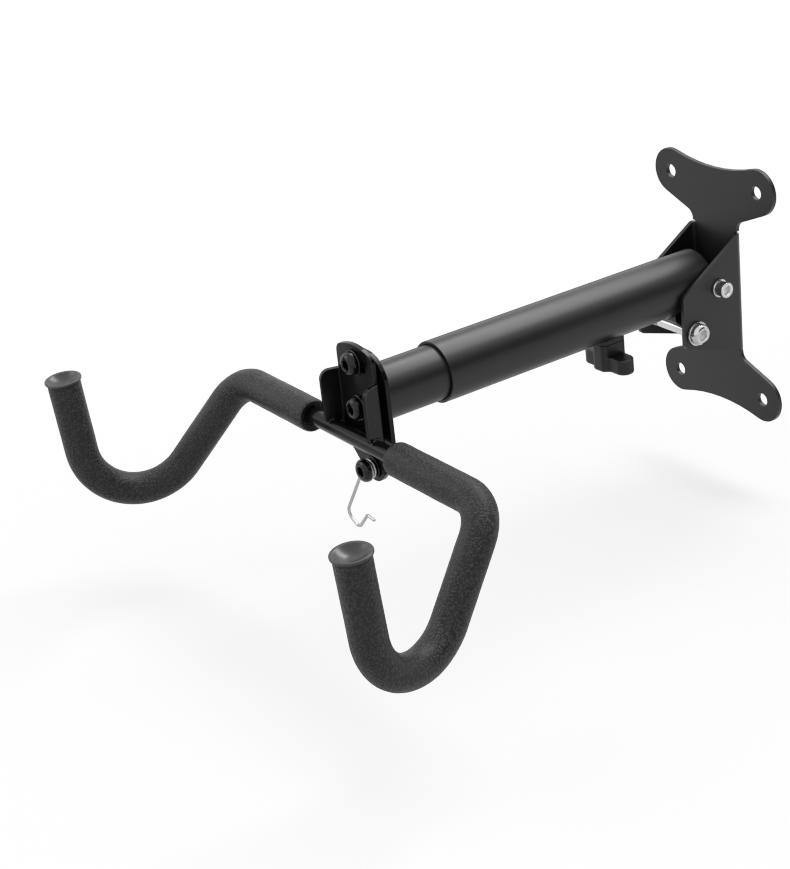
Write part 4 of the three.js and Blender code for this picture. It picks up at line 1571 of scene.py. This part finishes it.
@dataclass
class WireHook(Assembly):
    """The small wire hook that hangs from the lowest screw."""

    body: ClassVar[Body] = Body.WIRE_HOOK
    wire: float = 0.8
    eye: float = 5.2
    eye_lap: float = 206.0
    eye_pitch: float = 1.9
    lean: float = 33.6
    bends: tuple[float, ...] = (5.0, 5.0, 2.0)
    foot: tuple[tuple[float, float], ...] = ((-5.2, -52.0), (8.6, -50.5), (11.0, -34.0), (17.5, -31.0))

    def build(self) -> None:
        """Models the wire hook."""
        screw = middle("hook_screw")
        centre = Vector((screw.x, corners("wire_hook")[1].y - self.wire, screw.z))
        turn = Matrix.Rotation(math.radians(self.lean), 3, "Y")
        points = [centre + turn @ Vector((u, 0, v)) for u, v in ((-self.eye, 0.0), *self.foot)]
        shank = Line.bent(points, self.bends)
        lap, ramp = math.radians(self.eye_lap), math.radians(360 - self.eye_lap)
        spoke = turn @ Vector((-math.cos(lap), 0, math.sin(lap)))
        front = centre - Y * self.eye_pitch
        coils = (
            Turn(front, -Y, lap, self.eye),
            Turn(front, -Y, ramp, self.eye, rise=-self.eye_pitch),
            Turn(centre, -Y, lap, self.eye),
        )
        line = Line(front + spoke * self.eye, (-Y).cross(spoke), (*coils, *shank.legs))
        item = Bench.pipe("wire_form", self.wire, line, sides=24, pitch=0.7)
        Bench.round_edges(item, 0.2, segments=2, angle=50)
        self.add(item, Slot.ZINC, self.finishes.zinc, "wire_hook")


# ---- studio ----


@dataclass(frozen=True)
class Softbox:
    """A square area lamp that looks at a point."""

    name: str
    place: tuple[float, float, float]
    target: tuple[float, float, float]
    width: float
    height: float
    power: float

    def build(self) -> None:
        """Hangs the lamp."""
        lamp = bpy.data.lights.new(self.name, "AREA")
        lamp.shape = "RECTANGLE"
        lamp.size, lamp.size_y, lamp.energy = self.width, self.height, self.power
        item = bpy.data.objects.new(self.name, lamp)
        bpy.context.scene.collection.objects.link(item)
        item.location = self.place
        item.rotation_euler = (Vector(self.target) - Vector(self.place)).to_track_quat("-Z", "Y").to_euler()


@dataclass
class Studio:
    """Camera, floor, lamps and white surroundings."""

    eye: tuple[float, float, float] = (0.89097, -0.81974, 0.44080)
    azimuth: float = 56.74
    elevation: float = 23.27
    roll: float = -6.0
    lens: float = 80.72
    shift: tuple[float, float] = (-0.0399, -0.0378)
    fill_light: float = 0.55
    boxes: tuple[Softbox, ...] = field(default_factory=lambda: (
        Softbox("top_box", (-0.2, 0.66, 1.3), (0.0, -0.15, 0.0), 1.5, 0.55, 15.0),
        Softbox("left_box", (-0.9, -1.3, 0.8), (0.0, -0.25, -0.02), 0.8, 1.0, 4.0),
    ))
    card_place: tuple[float, float, float] = (1.72, 0.85, 0.68)
    card_size: tuple[float, float] = (2.0, 1.15)
    card_grey: float = 0.08
    floor_size: float = 8.0
    floor_grey: float = 0.82
    glow: float = 1.6
    dip: float = 0.044
    sensor: float = 36.0
    clip: tuple[float, float] = (0.05, 50.0)

    def camera(self) -> None:
        """Sets up the camera."""
        a, e, r = (math.radians(v) for v in (self.azimuth, self.elevation, self.roll))
        ahead = Vector((-math.sin(a) * math.cos(e), math.cos(a) * math.cos(e), -math.sin(e)))
        level = Vector((math.cos(a), math.sin(a), 0))
        upright = level.cross(ahead)
        right = level * math.cos(r) + upright * math.sin(r)
        up = upright * math.cos(r) - level * math.sin(r)
        data = bpy.data.cameras.new("camera")
        data.lens, data.sensor_width = self.lens, self.sensor
        data.shift_x, data.shift_y = self.shift
        data.clip_start, data.clip_end = self.clip
        item = bpy.data.objects.new("camera", data)
        bpy.context.scene.collection.objects.link(item)
        turn = Matrix((right, up, -ahead)).transposed().to_4x4()
        item.matrix_world = Matrix.Translation(self.eye) @ turn
        bpy.context.scene.camera = item

    def floor(self) -> None:
        """Lays the floor, which only takes shadows, as far below the rack as a hook dips at full tilt."""
        low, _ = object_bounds()
        Bench.pick()
        bpy.ops.mesh.primitive_plane_add(size=self.floor_size, location=(0, 0, low.z - self.dip))
        item = bpy.context.object
        item.name = "floor"
        item.is_shadow_catcher = True
        coat, board = new_material("floor_paper")
        paper = board.add("ShaderNodeBsdfDiffuse", Color=(*[self.floor_grey] * 3, 1.0))
        seen = board.add("ShaderNodeLightPath").outputs["Is Camera Ray"]
        glow = board.add("ShaderNodeEmission", Strength=board.maths("MULTIPLY", seen, self.glow))
        board.show(board.add("ShaderNodeAddShader", in0=paper.outputs[0], in1=glow.outputs[0]))
        item.data.materials.append(coat)
        item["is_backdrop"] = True

    def shade(self) -> None:
        """Stands a dark card at the back right, which only shows in what is glossy."""
        Bench.pick()
        bpy.ops.mesh.primitive_plane_add(size=1.0)
        item = bpy.context.object
        item.scale = (*self.card_size, 1.0)
        item.rotation_euler = (-Vector(self.card_place)).to_track_quat("Z", "Y").to_euler()
        item.location = self.card_place
        Bench.settle("dark_card")
        item.visible_camera = item.visible_diffuse = item.visible_transmission = False
        item.visible_shadow = False
        coat, board = new_material("dark_card")
        board.show(board.add("ShaderNodeBsdfDiffuse", Color=(*[self.card_grey] * 3, 1.0)))
        item.data.materials.append(coat)
        item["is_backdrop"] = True

    def surroundings(self) -> None:
        """White surroundings for the camera and for reflections, and a softer fill for everything else."""
        world = bpy.data.worlds.new("surroundings")
        world.use_nodes = True
        bpy.context.scene.world = world
        board = Board(world.node_tree)
        ray = board.add("ShaderNodeLightPath")
        seen = board.maths("MAXIMUM", ray.outputs["Is Camera Ray"], ray.outputs["Is Glossy Ray"])
        seen = board.maths("MAXIMUM", seen, ray.outputs["Is Transmission Ray"])
        strength = board.maths("MULTIPLY_ADD", seen, 1.0 - self.fill_light, self.fill_light)
        back = board.add("ShaderNodeBackground", Color=(1.0, 1.0, 1.0, 1.0), Strength=strength)
        board.show(back, "ShaderNodeOutputWorld")

    def build(self) -> None:
        """Builds the whole studio."""
        bpy.context.scene.view_settings.view_transform = "Standard"
        self.camera()
        self.floor()
        self.shade()
        self.surroundings()
        for box in self.boxes:
            box.build()


def main() -> None:
    """Builds the rack piece by piece, then the studio round it."""
    logging.basicConfig(level=logging.INFO, format="%(message)s")
    finishes = Finishes()
    for assembly in (WallBracket, Arm, Slider, Knob, HookFrame, WireHook):
        LOG.info("%s", assembly.__name__)
        assembly(finishes).build()
    Studio().build()
    Bench.pick()


if __name__ == "__main__":
    main()
